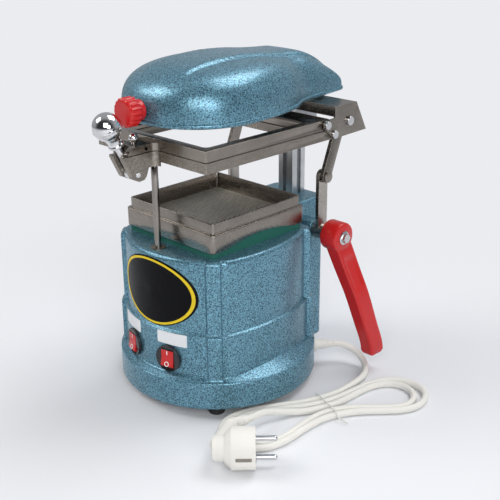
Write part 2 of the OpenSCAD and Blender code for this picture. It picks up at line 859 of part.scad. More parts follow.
// Hood: a closed shell lofted over one plan, with a raised spine
function smooth(a, b, y) = let (u = min(1, max(0, (y - a) / (b - a)))) u * u * (3 - 2 * u);
function root(v, n) = pow(max(0, v), 1 / n);
hood_mid = -18;
neck_half = 42;
function hood_side(y) = y < hood_mid
    ? hood_half * root(1 - pow((hood_mid - y) / (hood_front + hood_mid), 2.2), 2.2)
    : y < 55
    ? hood_half - (hood_half - 58) * pow((y - hood_mid) / (55 - hood_mid), 2)
    : y < 100
    ? neck_half + (58 - neck_half) * pow((100 - y) / 45, 2)
    : neck_half - 7 * (y - 100) / 50;
function hood_plan(y) = hood_side(y) * root(1 - pow(smooth(0, 1, (y - hood_rear + 16) / 16) * 0.9999, 3), 2.2);
function crown(y) = crown_h - 5 * smooth(0, 93, y) - 23 * smooth(88, 165, y);
spine_half = 26;
function spine(x, y) = 3 * (1 - smooth(spine_half - 3, spine_half + 3, abs(x)))
    * smooth(-70, -50, y) * (1 - smooth(120, 140, y));
hood_cy = (hood_rear - hood_front) / 2;
around = 56;
function plan_y(i, inset) = hood_cy - (hood_rear + hood_front - 2 * inset) / 2 * cos(360 * i / around);
function plan_x(i, inset) = let (y = plan_y(i, 0), w = max(0, hood_plan(y)))
    sign(sin(360 * i / around)) * max(0, w - inset * min(1, w / 20));
function hood_ring(s, inset) = [for (i = [0:around - 1]) let (
    x = plan_x(i, inset) * s,
    y = hood_cy + (plan_y(i, inset) - hood_cy) * s,
    z = (crown(y) - 4 - inset) * root(1 - pow(s, 4), 3) + spine(x, y) * (1 - pow(s, 4))
) [x, y, rim_z + 4 + z]];
function flat_ring(z, out) = [for (i = [0:around - 1]) [
    plan_x(i, -out), hood_cy + (plan_y(i, -out) - hood_cy), z
]];
outer_steps = [1, 0.99, 0.965, 0.92, 0.86, 0.78, 0.67, 0.54, 0.4, 0.26, 0.12];
inner_steps = [1, 0.97, 0.92, 0.84, 0.72, 0.55, 0.35, 0.15];

module hood_loft(rings, top_out, top_in) {
    n = len(rings);
    points = concat([for (r = rings) each r], [top_out, top_in]);
    sides = [for (k = [0:n - 2], i = [0:around - 1]) let (j = (i + 1) % around)
        each [[k * around + i, k * around + j, (k + 1) * around + j],
              [k * around + i, (k + 1) * around + j, (k + 1) * around + i]]];
    first = [for (i = [0:around - 1]) [(i + 1) % around, i, n * around]];
    last = [for (i = [0:around - 1]) [(n - 1) * around + i, (n - 1) * around + (i + 1) % around, n * around + 1]];
    polyhedron(points, concat(sides, first, last), convexity = 6);
}

module hood_shell() {
    w = hood_wall;
    rings = concat(
        [for (k = [len(outer_steps) - 1:-1:0]) hood_ring(outer_steps[k], 0)],
        [flat_ring(rim_z + 4, 1.2), flat_ring(rim_z, 1.2), flat_ring(rim_z, -w)],
        [for (k = [0:len(inner_steps) - 1]) hood_ring(inner_steps[k], w)]
    );
    tip = crown(hood_cy) + 3;
    color(blue) hood_loft(rings, [0, hood_cy, rim_z + tip], [0, hood_cy, rim_z + tip - w]);
}

rib_half = 6;
rib_reach = hood_side(column_y + rib_half) - hood_wall - 1;

module hood_boss() {
    color("#6d7378") difference() {
        union() {
            translate([0, column_y, boss_z0]) cylinder(r = 13, h = boss_z1 - boss_z0);
            translate([-rib_reach, column_y - rib_half, boss_z0 + 2])
                cube([2 * rib_reach, 2 * rib_half, 8]);
        }
        translate([0, column_y, boss_z0 - 1]) cylinder(r = post_d / 2 + run_gap, h = 40);
    }
}

// Heater inside the hood
heat_y = -8;
pan_r = 56;
pan_z = rim_z + 12;
disc_z = rim_z + 17;
coil_d = 4;

module reflector() {
    color(chrome) translate([0, heat_y, 0]) {
        difference() {
            translate([0, 0, pan_z]) cylinder(r1 = pan_r, r2 = pan_r - 4, h = 12);
            translate([0, 0, pan_z - 1]) cylinder(r1 = pan_r - 0.7, r2 = pan_r - 5, h = 11.8);
        }
        for (a = [90:120:330]) {
            rotate(a) translate([21, 0, pan_z + 11]) cylinder(r = 3, h = crown_h - 24.6);
        }
    }
}

module heater_disc() {
    color("#d8d2c4") translate([0, heat_y, 0]) difference() {
        translate([0, 0, disc_z]) cylinder(r = 46, h = 5.8);
        translate([0, 0, disc_z - 1]) cylinder(r = 5, h = 10);
    }
}

// Tube along points: one ring of corners on each point, square to the path there
function unit(v) = v / norm(v);
function heading(p, i) = unit(p[min(i + 1, len(p) - 1)] - p[max(i - 1, 0)]);
function tube_ring(p, i, r, n) = let (
    t = heading(p, i),
    u = unit(cross([0, 0, 1], t)),
    v = cross(t, u)
) [for (k = [0:n - 1]) p[i] + r * (cos(360 * (k + 0.5) / n) * u + sin(360 * (k + 0.5) / n) * v)];

// The stretch of the path from point a to point b, whose end rings fit its neighbours'
module tube(p, r, n, a, b) {
    m = b - a + 1;
    points = [for (i = [a:b]) each tube_ring(p, i, r, n)];
    sides = [for (i = [0:m - 2], k = [0:n - 1]) let (j = (k + 1) % n)
        each [[i * n + k, (i + 1) * n + k, (i + 1) * n + j], [i * n + k, (i + 1) * n + j, i * n + j]]];
    ends = concat([for (k = [1:n - 2]) [0, k, k + 1]],
        [for (k = [1:n - 2]) [(m - 1) * n, (m - 1) * n + k + 1, (m - 1) * n + k]]);
    polyhedron(points, concat(sides, ends), convexity = 8);
}

function least_gap(p, r, skip) = min([for (i = [0:len(p) - 1], j = [i + skip:1:len(p) - 1])
    norm(p[i] - p[j])]) - 2 * r;

coil_points = [for (i = [0:96]) let (a = 360 * 4 * i / 96, q = 10 + 8 * a / 360)
    [q * cos(a), heat_y + q * sin(a), disc_z - coil_d / 2 - soft_gap]];

module heater_coil() {
    color("#6b5f57") tube(coil_points, coil_d / 2, 6, 0, len(coil_points) - 1);
}

// Red knob on the hood's front
knob_z = 290.5;
knob_y = -106.5;

module front_knob() {
    color(red) difference() {
        translate([0, 0, knob_z]) rotate([-90, 0, 0]) union() {
            translate([0, 0, knob_y]) cylinder(r = knob_d / 2, h = 13);
            for (a = [0:20:340]) {
                rotate(a) translate([knob_d / 2, 0, knob_y + 1]) cylinder(r = 0.9, h = 11, $fn = 16);
            }
            translate([0, 0, knob_y + 13]) cylinder(r = 9.5, h = -hood_front - 1.2 - knob_y - 13);
        }
        translate([0, knob_y + 6, knob_z]) rotate([-90, 0, 0]) cylinder(r = 3, h = 40);
    }
}

module knob_stud() {
    color(chrome) translate([0, knob_y + 6, knob_z]) rotate([-90, 0, 0])
        cylinder(r = 3, h = -hood_front - knob_y - 6);
}

// Mains cord: gland, free run, hank, lead and plug
cord_r = cord_d / 2;
relief_len = 18;
cord_route = [
    [74.8, 95.6, 21], [80.7, 101.8, 19.9], [87, 105.7, 17.9], [94.4, 107.6, 15.1],
    [102, 107.3, 11.9], [109, 104.8, 9], [115, 100.2, 6.6], [119.7, 93.8, 4.8],
    [122.7, 85.8, 3.7], [124.2, 76.5, 3.3], [124.9, 67.5, 3.3], [125.1, 58.5, 3.3],
    [124.9, 49.5, 3.3], [124, 41, 3.3], [122.5, 33.5, 3.3], [120.7, 26.6, 3.3]
];
waist = [135.8, 13.4];
waist_angle = 69;
function hank_point(t) = let (
    a360 = 360 * t,
    s = pow(sin(a360), 2),
    along = -(112 - 11.8 * t) * sin(a360),
    off = -cos(a360) * (18.7 - 8.1 * t + (73.4 - 2.7 * t) * s - (36.5 - 4.9 * t) * s * s),
    e = [cos(waist_angle), sin(waist_angle)],
    n = [sin(waist_angle), -cos(waist_angle)],
    bend = 0.00105,
    d = unit(e + 2 * bend * along * n),
    m = [d[1], -d[0]],
    q = waist + along * e + bend * along * along * n + off * m
) [q[0], q[1], cord_r];
hank_rings = 24;
hank_points = [for (i = [0:hank_rings * hank_turns]) hank_point(i / hank_rings)];
lead_route = [
    [130.2, 5.6, 3.3], [125.8, -3.6, 3.4], [120.4, -12.7, 4.2], [115.2, -21.8, 6], [111, -31, 8.5],
    [108.9, -40, 11.2], [108.9, -49, 13.6], [110.1, -57.5, 15.2], [111, -64.4, 16.3]
];
relief_tip = [111.1, -71, 17.5];
relief_root = [112.5, -92, 20.5];
plug_face = [151, -99, plug_d / 2];
plug_angle = 44.8;
plug_len = 27;
plug_neck = [128, -119, plug_d / 2];
cord_path = concat(cord_route, hank_points, lead_route, [relief_tip]);
hank_first = len(cord_route);
hank_last = hank_first + len(hank_points) - 1;
echo(hank_gap = least_gap(hank_points, cord_r, 4));
echo(coil_gap = least_gap(coil_points, coil_d / 2, 10));

module mains_cord() {
    color(white) tube(cord_path, cord_r, 8, 0, hank_first);
}

module cord_hank() {
    color(white) tube(cord_path, cord_r, 6, hank_first, hank_last);
}

module plug_lead() {
    color(white) tube(cord_path, cord_r, 8, hank_last, len(cord_path) - 1);
}

module cord_tie() {
    color("#d9d6cf") translate([waist[0], waist[1], 0]) rotate([0, 0, waist_angle - 90])
        translate([0, 2.5, 0]) rotate([90, 0, 0]) linear_extrude(3) difference() {
            rounded_box(-24.5, 20.5, 0, cord_d + 1.6, 3.6);
            rounded_box(-23.2, 19.2, 0.5, cord_d + 0.8, 3);
        }
}

module cord_gland() {
    color(white) gland_place() {
        translate([0, 0, skirt_r - 8]) cylinder(r = gland_bore - 0.1, h = 8);
        translate([0, 0, skirt_r]) cylinder(r = 7.5, h = 3);
        translate([0, 0, skirt_r]) cylinder(r1 = 5.5, r2 = cord_r + 0.6, h = relief_len + 3.4);
    }
}

module plug_place() {
    translate(plug_face) rotate([0, 0, plug_angle]) rotate([0, -90, 0]) children();
}

// Cone from one point to another
module taper(a, b, r1, r2) {
    v = b - a;
    translate(a) rotate([0, acos(v[2] / norm(v)), atan2(v[1], v[0])])
        cylinder(r1 = r1, r2 = r2, h = norm(v));
}

module plug_body() {
    color(white) {
        plug_place() {
            cylinder(r = plug_d / 2, h = plug_len - 5);
            translate([0, 0, plug_len - 5]) cylinder(r1 = plug_d / 2, r2 = plug_d / 2 - 5, h = 5);
            cylinder(r = 11.5, h = plug_len + 11);
        }
        taper(plug_neck, relief_root, 10, 7);
        translate(relief_root) sphere(r = 7.8);
        taper(relief_root, relief_tip, 7, cord_r + 1);
    }
}

module plug_pins() {
    color(chrome) plug_place() for (s = [-1, 1]) {
        translate([s * 9.5, 0, -19]) cylinder(r = 2.4, h = 19);
    }
}

housing();
base_plate();
rubber_feet();
foot_screws();
motor_can();
fan_housing();
motor_clamp();
suction_seal();
tray_gasket();
tray();
mesh_plate();
column();
pivot_post();
post_cap();
guide_bush();
heat_switch();
vacuum_switch();
switch_labels();
badge_plate();
cord_gland();
mains_cord();
cord_hank();
plug_lead();
cord_tie();
plug_body();
plug_pins();
lower_frame();
lower_jaw();
rear_bracket();
slide_block();
bracket_screws();
hinge_screws();
link_bolts();
guide_rod();
jaw_pin();
upper_frame();
upper_jaw();
lift_stud();
link_right();
link_left();
lever_shaft();
lever();
lever_bolt();
arm_right();
arm_left();
swing_bolt();
ball_nut();
hood_shell();
hood_boss();
reflector();
heater_disc();
heater_coil();
front_knob();
knob_stud();
impeller();
motor_shaft();
heat_rocker();
vacuum_rocker();
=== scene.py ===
import logging
import math
from dataclasses import dataclass
from enum import Enum
from typing import Any, Callable, Sequence

import bmesh
import bpy
import numpy as np
from mathutils import Matrix, Vector


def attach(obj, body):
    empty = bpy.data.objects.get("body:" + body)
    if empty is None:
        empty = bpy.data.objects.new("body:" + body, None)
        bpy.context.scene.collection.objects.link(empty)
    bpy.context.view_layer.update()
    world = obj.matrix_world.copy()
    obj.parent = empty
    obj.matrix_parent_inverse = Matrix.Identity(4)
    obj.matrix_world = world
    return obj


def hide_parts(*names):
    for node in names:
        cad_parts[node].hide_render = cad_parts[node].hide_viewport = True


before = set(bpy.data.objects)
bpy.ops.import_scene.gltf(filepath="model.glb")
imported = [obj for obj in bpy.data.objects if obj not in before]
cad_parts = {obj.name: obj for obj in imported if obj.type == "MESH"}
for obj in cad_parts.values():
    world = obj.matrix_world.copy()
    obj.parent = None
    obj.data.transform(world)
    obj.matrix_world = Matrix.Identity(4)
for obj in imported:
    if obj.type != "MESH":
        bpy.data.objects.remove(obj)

log = logging.getLogger("vacuum_former")
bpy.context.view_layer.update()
MM = 0.001
Array = np.ndarray


class Axis(Enum):
    """One of the row's axes, by its place in a point."""

    X = 0
    Y = 1
    Z = 2


class Side(Enum):
    """Which of the two switches, seen from the front."""

    LEFT = -1
    RIGHT = 1


# Shader expressions


class Value:
    """A number that a shader node puts out, for use in Python expressions."""

    def __init__(self, shader: "Shader", socket: Any) -> None:
        """Keeps the socket and the material that it belongs to."""
        self.shader = shader
        self.socket = socket

    def __add__(self, other: Any) -> "Value":
        """Sum of two values."""
        return self.shader.math("ADD", self, other)

    def __sub__(self, other: Any) -> "Value":
        """Difference of two values."""
        return self.shader.math("SUBTRACT", self, other)

    def __rsub__(self, other: Any) -> "Value":
        """Difference with the plain number first."""
        return self.shader.math("SUBTRACT", other, self)

    def __mul__(self, other: Any) -> "Value":
        """Product of two values."""
        return self.shader.math("MULTIPLY", self, other)

    __radd__ = __add__
    __rmul__ = __mul__

    def step(self, low: float, high: float) -> "Value":
        """Smooth step from 0 at low to 1 at high."""
        node = self.shader.node("ShaderNodeMapRange", {"interpolation_type": "SMOOTHSTEP"}, {
            "Value": self, "From Min": low, "From Max": high})
        return Value(self.shader, node.outputs["Result"])


class Shader:
    """One material and the few calls that its nodes are made with."""

    def __init__(self, name: str) -> None:
        """Starts a material that holds a Principled BSDF alone.

        Args:
            name: the material's name.
        """
        self.material = bpy.data.materials.new(name)
        self.material.use_nodes = True
        self.tree = self.material.node_tree
        self.surface = self.tree.nodes["Principled BSDF"]
        self.place = self.node("ShaderNodeTexCoord").outputs["Object"]

    def node(self, kind: str, settings: dict[str, Any] | None = None,
             inputs: dict[Any, Any] | None = None) -> Any:
        """Adds one node.

        Args:
            kind: Blender's name for the node's type.
            settings: attributes that are set first; "stops" fills a colour ramp.
            inputs: a value, a Value or a socket for each input, by name or number.

        Returns:
            The new node.
        """
        made = self.tree.nodes.new(kind)
        for key, value in (settings or {}).items():
            if key == "stops":
                ramp = made.color_ramp
                for spot, colour in value[2:]:
                    ramp.elements.new(spot)
                for element, (spot, colour) in zip(ramp.elements, value):
                    element.position = spot
                    element.color = (*colour, 1.0)
            else:
                setattr(made, key, value)
        for key, value in (inputs or {}).items():
            self.feed(made.inputs[key], value)
        return made

    def feed(self, socket: Any, value: Any) -> None:
        """Links or sets one input.

        Args:
            socket: the input.
            value: a number, a colour, a vector, a Value or another node's output.
        """
        source = value.socket if isinstance(value, Value) else value
        if isinstance(source, bpy.types.NodeSocket):
            self.tree.links.new(source, socket)
        elif isinstance(source, (tuple, list)) and len(source) == 3 and socket.type == "RGBA":
            socket.default_value = (*source, 1.0)
        else:
            socket.default_value = source

    def math(self, operation: str, first: Any, second: Any) -> Value:
        """One Math node on two values."""
        made = self.node("ShaderNodeMath", {"operation": operation}, {0: first, 1: second})
        return Value(self, made.outputs[0])

    def noise(self, scale: float, detail: float = 2.0, rough: float = 0.5,
              place: Any = None) -> Value:
        """Noise on Object coordinates.

        Args:
            scale: cells for each metre.
            detail: octaves of finer noise.
            rough: weight of the finer octaves.
            place: coordinates to read in place of the object's own.

        Returns:
            The noise, from 0 to 1.
        """
        made = self.node("ShaderNodeTexNoise", None, {
            "Vector": place or self.place, "Scale": scale, "Detail": detail, "Roughness": rough})
        return Value(self, made.outputs["Fac"])

    def cells(self, scale: float) -> Value:
        """Distance to the nearest of scattered points, for each metre."""
        made = self.node("ShaderNodeTexVoronoi", {"feature": "SMOOTH_F1"}, {
            "Vector": self.place, "Scale": scale, "Smoothness": 0.6})
        return Value(self, made.outputs["Distance"])

    def stretched(self, scale: Sequence[float]) -> Any:
        """Object coordinates scaled by a different number along each axis."""
        return self.node("ShaderNodeMapping", None, {
            "Vector": self.place, "Scale": tuple(scale)}).outputs["Vector"]

    def mix(self, amount: Any, first: Any, second: Any) -> Any:
        """Colour between two colours, by an amount from 0 to 1."""
        made = self.node("ShaderNodeMix", {"data_type": "RGBA"}, {
            "Factor": amount, 6: first, 7: second})
        return made.outputs[2]

    def relief(self, height: Value, depth: float, strength: float = 1.0) -> None:
        """Feeds a height to the surface's normal through a Bump node."""
        made = self.node("ShaderNodeBump", None, {
            "Strength": strength, "Distance": depth, "Height": height})
        self.feed(self.surface.inputs["Normal"], made.outputs["Normal"])

    def colour(self, value: Any) -> None:
        """Sets or feeds the base colour."""
        self.feed(self.surface.inputs["Base Color"], value)

    def rough(self, value: Any) -> None:
        """Sets or feeds the roughness."""
        self.feed(self.surface.inputs["Roughness"], value)


Colour = tuple[float, float, float]


@dataclass(frozen=True)
class Finish:
    """A plain finish with a little wear. Other finishes build on it."""

    name: str
    slot: str
    base: Colour
    roughness: float = 0.5
    metallic: float = 0.0
    coat: float = 0.0
    grain: float = 900.0
    depth: float = 0.00004
    wear: float = 0.06
    gloss: float = 0.5

    def make(self) -> Any:
        """Builds the material once and hands the same one out again.

        Returns:
            The Blender material.
        """
        ready = bpy.data.materials.get(self.name)
        if ready:
            return ready
        shader = Shader(self.name)
        shader.feed(shader.surface.inputs["Metallic"], self.metallic)
        shader.feed(shader.surface.inputs["Coat Weight"], self.coat)
        shader.feed(shader.surface.inputs["Specular IOR Level"], self.gloss)
        self.dress(shader)
        return shader.material

    def shade(self, share: float) -> Colour:
        """The base colour made lighter or darker by a share."""
        return tuple(min(1.0, channel * share) for channel in self.base)

    def dress(self, shader: Shader) -> None:
        """Soft mottling in colour and roughness over a fine grain.

        Args:
            shader: the material to dress.
        """
        broad = shader.noise(22.0, 3.0)
        fine = shader.noise(self.grain, 3.0, 0.6)
        shader.colour(shader.mix(broad.step(0.3, 0.7), self.shade(1 - self.wear),
                                 self.shade(1 + self.wear)))
        shader.rough(self.roughness + (fine - 0.5) * 0.12 + (broad - 0.5) * 0.1)
        shader.relief(fine, self.depth, 0.5)


@dataclass(frozen=True)
class Hammertone(Finish):
    """Hammered enamel: mid blue flake with fine dark flecks in shallow dimples."""

    fleck: Colour = (0.022, 0.070, 0.105)
    spot_cells: float = 600.0
    grain_cells: float = 1100.0
    flake_cells: float = 950.0

    def dress(self, shader: Shader) -> None:
        """Dark flecks at scattered points, broken up by grain; flake between them.

        Args:
            shader: the material to dress.
        """
        spots = shader.cells(self.spot_cells)
        grain = shader.noise(self.grain_cells, 2.0, 0.6)
        flake = shader.noise(self.flake_cells, 1.0)
        broad = shader.noise(9.0, 3.0)
        flecks = (spots + (grain - 0.5) * 0.9).step(0.18, 0.44)
        tone = shader.mix(flake.step(0.36, 0.66), self.shade(0.62), self.shade(1.55))
        worn = shader.mix(broad.step(0.3, 0.7), self.shade(0.92), tone)
        shader.colour(shader.mix(flecks, self.fleck, shader.mix(0.8, worn, tone)))
        shader.rough(self.roughness + (1 - flecks) * 0.15 + (flake - 0.5) * 0.1)
        shader.relief(spots * 0.7 + flake * 0.3, 0.00022, 0.4)


@dataclass(frozen=True)
class Brushed(Finish):
    """Metal with fine scratches drawn out along one axis."""

    along: Colour = (40.0, 900.0, 900.0)

    def dress(self, shader: Shader) -> None:
        """Streaks from noise squeezed across the grain, stains from broad noise.

        Args:
            shader: the material to dress.
        """
        streak = shader.noise(1.0, 3.0, 0.6, shader.stretched(self.along))
        stain = shader.noise(30.0, 4.0, 0.6)
        shader.colour(shader.mix(stain.step(0.35, 0.75), self.shade(0.82), self.shade(1.08)))
        shader.rough(self.roughness + (streak - 0.5) * 0.12 + (stain - 0.5) * 0.12)
        shader.relief(streak, self.depth, 0.2)


@dataclass(frozen=True)
class Cast(Finish):
    """Plated casting: pitted skin under satin nickel, darker in its pits."""

    def dress(self, shader: Shader) -> None:
        """Pits from fine noise, tarnish from broad noise.

        Args:
            shader: the material to dress.
        """
        pit = shader.noise(1000.0, 3.0, 0.6)
        stain = shader.noise(45.0, 4.0, 0.6)
        pits = pit.step(0.34, 0.60)
        tone = shader.mix(stain.step(0.35, 0.7), self.shade(0.86), self.shade(1.12))
        shader.colour(shader.mix(pits, self.shade(0.6), tone))
        shader.rough(self.roughness + (1 - pits) * 0.12 + (stain - 0.5) * 0.12)
        shader.relief(pit, 0.00008, 0.4)


@dataclass(frozen=True)
class Ringed(Finish):
    """Enamelled plate with a rim of another colour, drawn by its own UV map."""

    rim: Colour = (0.75, 0.55, 0.03)
    rim_from: float = 0.90
    rim_to: float = 0.965

    def dress(self, shader: Shader) -> None:
        """UV's second number is the share of the way from the centre to the edge.

        Args:
            shader: the material to dress.
        """
        uv = shader.node("ShaderNodeUVMap", {"uv_map": "face"}).outputs["UV"]
        split = shader.node("ShaderNodeSeparateXYZ", None, {0: uv})
        share = Value(shader, split.outputs["Y"])
        edge = 0.005
        ring = share.step(self.rim_from, self.rim_from + edge) * (
            1 - share.step(self.rim_to, self.rim_to + edge))
        dust = shader.noise(60.0, 4.0)
        shader.colour(shader.mix(ring, self.shade(1.0), self.rim))
        shader.rough(self.roughness + (dust - 0.5) * 0.2)
        shader.relief(shader.noise(self.grain, 2.0) * 0.1 + ring, 0.00002, 0.2)


BLUE = Hammertone("hammertone", "hammertone_blue", (0.130, 0.285, 0.372), 0.34, 0.62, coat=0.2)
NICKEL = Cast("cast_nickel", "nickel", (0.34, 0.305, 0.265), 0.34, 1.0)
SATIN = Brushed("satin_nickel_cast", "nickel", (0.30, 0.268, 0.235), 0.24, 1.0, depth=0.00002)
SHEET = Brushed("satin_nickel_sheet", "nickel", (0.29, 0.262, 0.232), 0.27, 1.0, depth=0.00001)
BAR = Brushed("satin_nickel_bar", "nickel", (0.50, 0.46, 0.42), 0.28, 1.0, depth=0.00001)
ROD = Brushed("ground_rod", "chrome", (0.30, 0.275, 0.25), 0.14, 1.0, depth=0.000004)
CHROME = Brushed("polished_chrome", "chrome", (0.72, 0.72, 0.73), 0.08, 1.0, depth=0.000004)
MESH = Brushed("dull_mesh", "mesh_steel", (0.46, 0.43, 0.385), 0.40, 0.45,
               along=(900.0, 40.0, 900.0))
ZINC = Brushed("zinc_steel", "plated_steel", (0.52, 0.53, 0.54), 0.36, 1.0)
ALLOY = Brushed("extruded_alloy", "alloy", (0.60, 0.61, 0.62), 0.32, 1.0,
                along=(900.0, 900.0, 30.0))
RED = Finish("red_plastic", "red_plastic", (0.36, 0.005, 0.005), 0.40, gloss=0.15)
BLACK = Finish("black_plastic", "black_plastic", (0.020, 0.020, 0.022), 0.34)
RUBBER = Finish("black_rubber", "black_rubber", (0.018, 0.018, 0.018), 0.72, depth=0.00009)
GREEN = Finish("green_rubber", "green_rubber", (0.010, 0.105, 0.085), 0.62, depth=0.00012)
WHITE = Finish("white_vinyl", "white_vinyl", (0.74, 0.72, 0.66), 0.40, depth=0.00003, wear=0.03)
LABEL = Finish("label_film", "label_white", (0.76, 0.78, 0.80), 0.45, wear=0.03)
WIRE = Finish("tie_wire", "tie_wire", (0.70, 0.69, 0.66), 0.5)
BADGE = Ringed("badge_enamel", "badge_black", (0.004, 0.004, 0.005), 0.28, gloss=0.08)
CERAMIC = Finish("heater_ceramic", "heater_ceramic", (0.70, 0.66, 0.58), 0.8, depth=0.0002)
COIL = Brushed("oxidised_coil", "heater_wire", (0.25, 0.22, 0.20), 0.6, 1.0)
INK = Finish("white_ink", "label_white", (0.86, 0.86, 0.84), 0.5, wear=0.02)


# Surfaces


def smooth(low: float, high: float, x: Any) -> Array:
    """Cubic step: 0 below low, 1 above high."""
    u = np.clip((np.asarray(x, float) - low) / (high - low), 0, 1)
    return u * u * (3 - 2 * u)


def turn(points: Array, axis: Axis, degrees: float) -> Array:
    """Points turned about one of the row's axes through the origin.

    Args:
        points: any array whose last axis holds x, y and z.
        axis: the axis to turn about.
        degrees: the angle, by the right-hand rule.

    Returns:
        The turned points.
    """
    c, s = math.cos(math.radians(degrees)), math.sin(math.radians(degrees))
    one, two = (axis.value + 1) % 3, (axis.value + 2) % 3
    out = np.array(points, float)
    out[..., one] = c * points[..., one] - s * points[..., two]
    out[..., two] = s * points[..., one] + c * points[..., two]
    return out


def rounded_square(half_x: float, half_y: float, radius: float, per_corner: int = 8,
                   per_side: int = 1) -> Array:
    """Outline of a rectangle with round corners, as points in millimetres.

    Each corner is a quarter of a circle; each side between corners is cut in equal parts.

    Args:
        half_x: half the width.
        half_y: half the depth.
        radius: corner radius.
        per_corner: steps in each corner.
        per_side: steps along each straight side.

    Returns:
        An array of points, anticlockwise from the right side's start.
    """
    parts = []
    for k, (sx, sy) in enumerate(((1, 1), (-1, 1), (-1, -1), (1, -1))):
        a = np.radians(np.linspace(90 * k, 90 * k + 90, per_corner + 1))
        centre = np.array([sx * (half_x - radius), sy * (half_y - radius)])
        parts.append(centre + radius * np.stack([np.cos(a), np.sin(a)], 1))
    out = []
    for k, part in enumerate(parts):
        after = parts[(k + 1) % 4][0]
        t = np.linspace(0, 1, per_side + 1)[1:-1, None]
        out.append(np.concatenate([part, part[-1] * (1 - t) + after * t]))
    return np.concatenate(out)


def outward(outline: Array) -> Array:
    """Unit normals of a closed anticlockwise outline, from its neighbours."""
    d = np.roll(outline, -1, 0) - np.roll(outline, 1, 0)
    n = np.stack([d[:, 1], -d[:, 0]], 1)
    return n / np.maximum(np.linalg.norm(n, axis=1, keepdims=True), 1e-9)


def rounded_levels(low: float, high: float, radius: float, steps: int = 4) -> Array:
    """Profile of a slab's edge, as (inset, height) pairs from bottom to top.

    The corners follow quarter circles of the radius.

    Args:
        low: height of the bottom face.
        high: height of the top face.
        radius: radius of both edges.
        steps: steps in each quarter circle.

    Returns:
        An array of (inset, height) pairs.
    """
    a = np.linspace(0, np.pi / 2, steps + 1)
    bottom = np.stack([radius * (1 - np.sin(a)), low + radius * (1 - np.cos(a))], 1)
    top = np.stack([radius * (1 - np.cos(a)), high - radius * (1 - np.sin(a))], 1)
    return np.concatenate([bottom, top])


def resample(points: Array, count: int) -> Array:
    """Even steps along a smooth curve through the points.

    Between two points the curve is a cubic whose slope at each point is half the step from
    the point before to the point after. It is read densely, then cut by arc length.

    Args:
        points: the points that the curve passes through.
        count: how many points to return.

    Returns:
        The even points, from the first to the last.
    """
    p = np.asarray(points, float)
    ends = np.concatenate([[2 * p[0] - p[1]], p, [2 * p[-1] - p[-2]]])
    t = np.linspace(0, 1, 24, endpoint=False)[:, None, None]
    a, b, c, d = ends[:-3], ends[1:-2], ends[2:-1], ends[3:]
    curve = 0.5 * (2 * b + (c - a) * t + (2 * a - 5 * b + 4 * c - d) * t ** 2
                   + (3 * b - a - 3 * c + d) * t ** 3)
    dense = np.concatenate([curve.transpose(1, 0, 2).reshape(-1, 3), p[-1:]])
    reach = np.concatenate([[0], np.cumsum(np.linalg.norm(np.diff(dense, axis=0), axis=1))])
    even = np.linspace(0, reach[-1], count)
    return np.stack([np.interp(even, reach, dense[:, k]) for k in range(3)], 1)


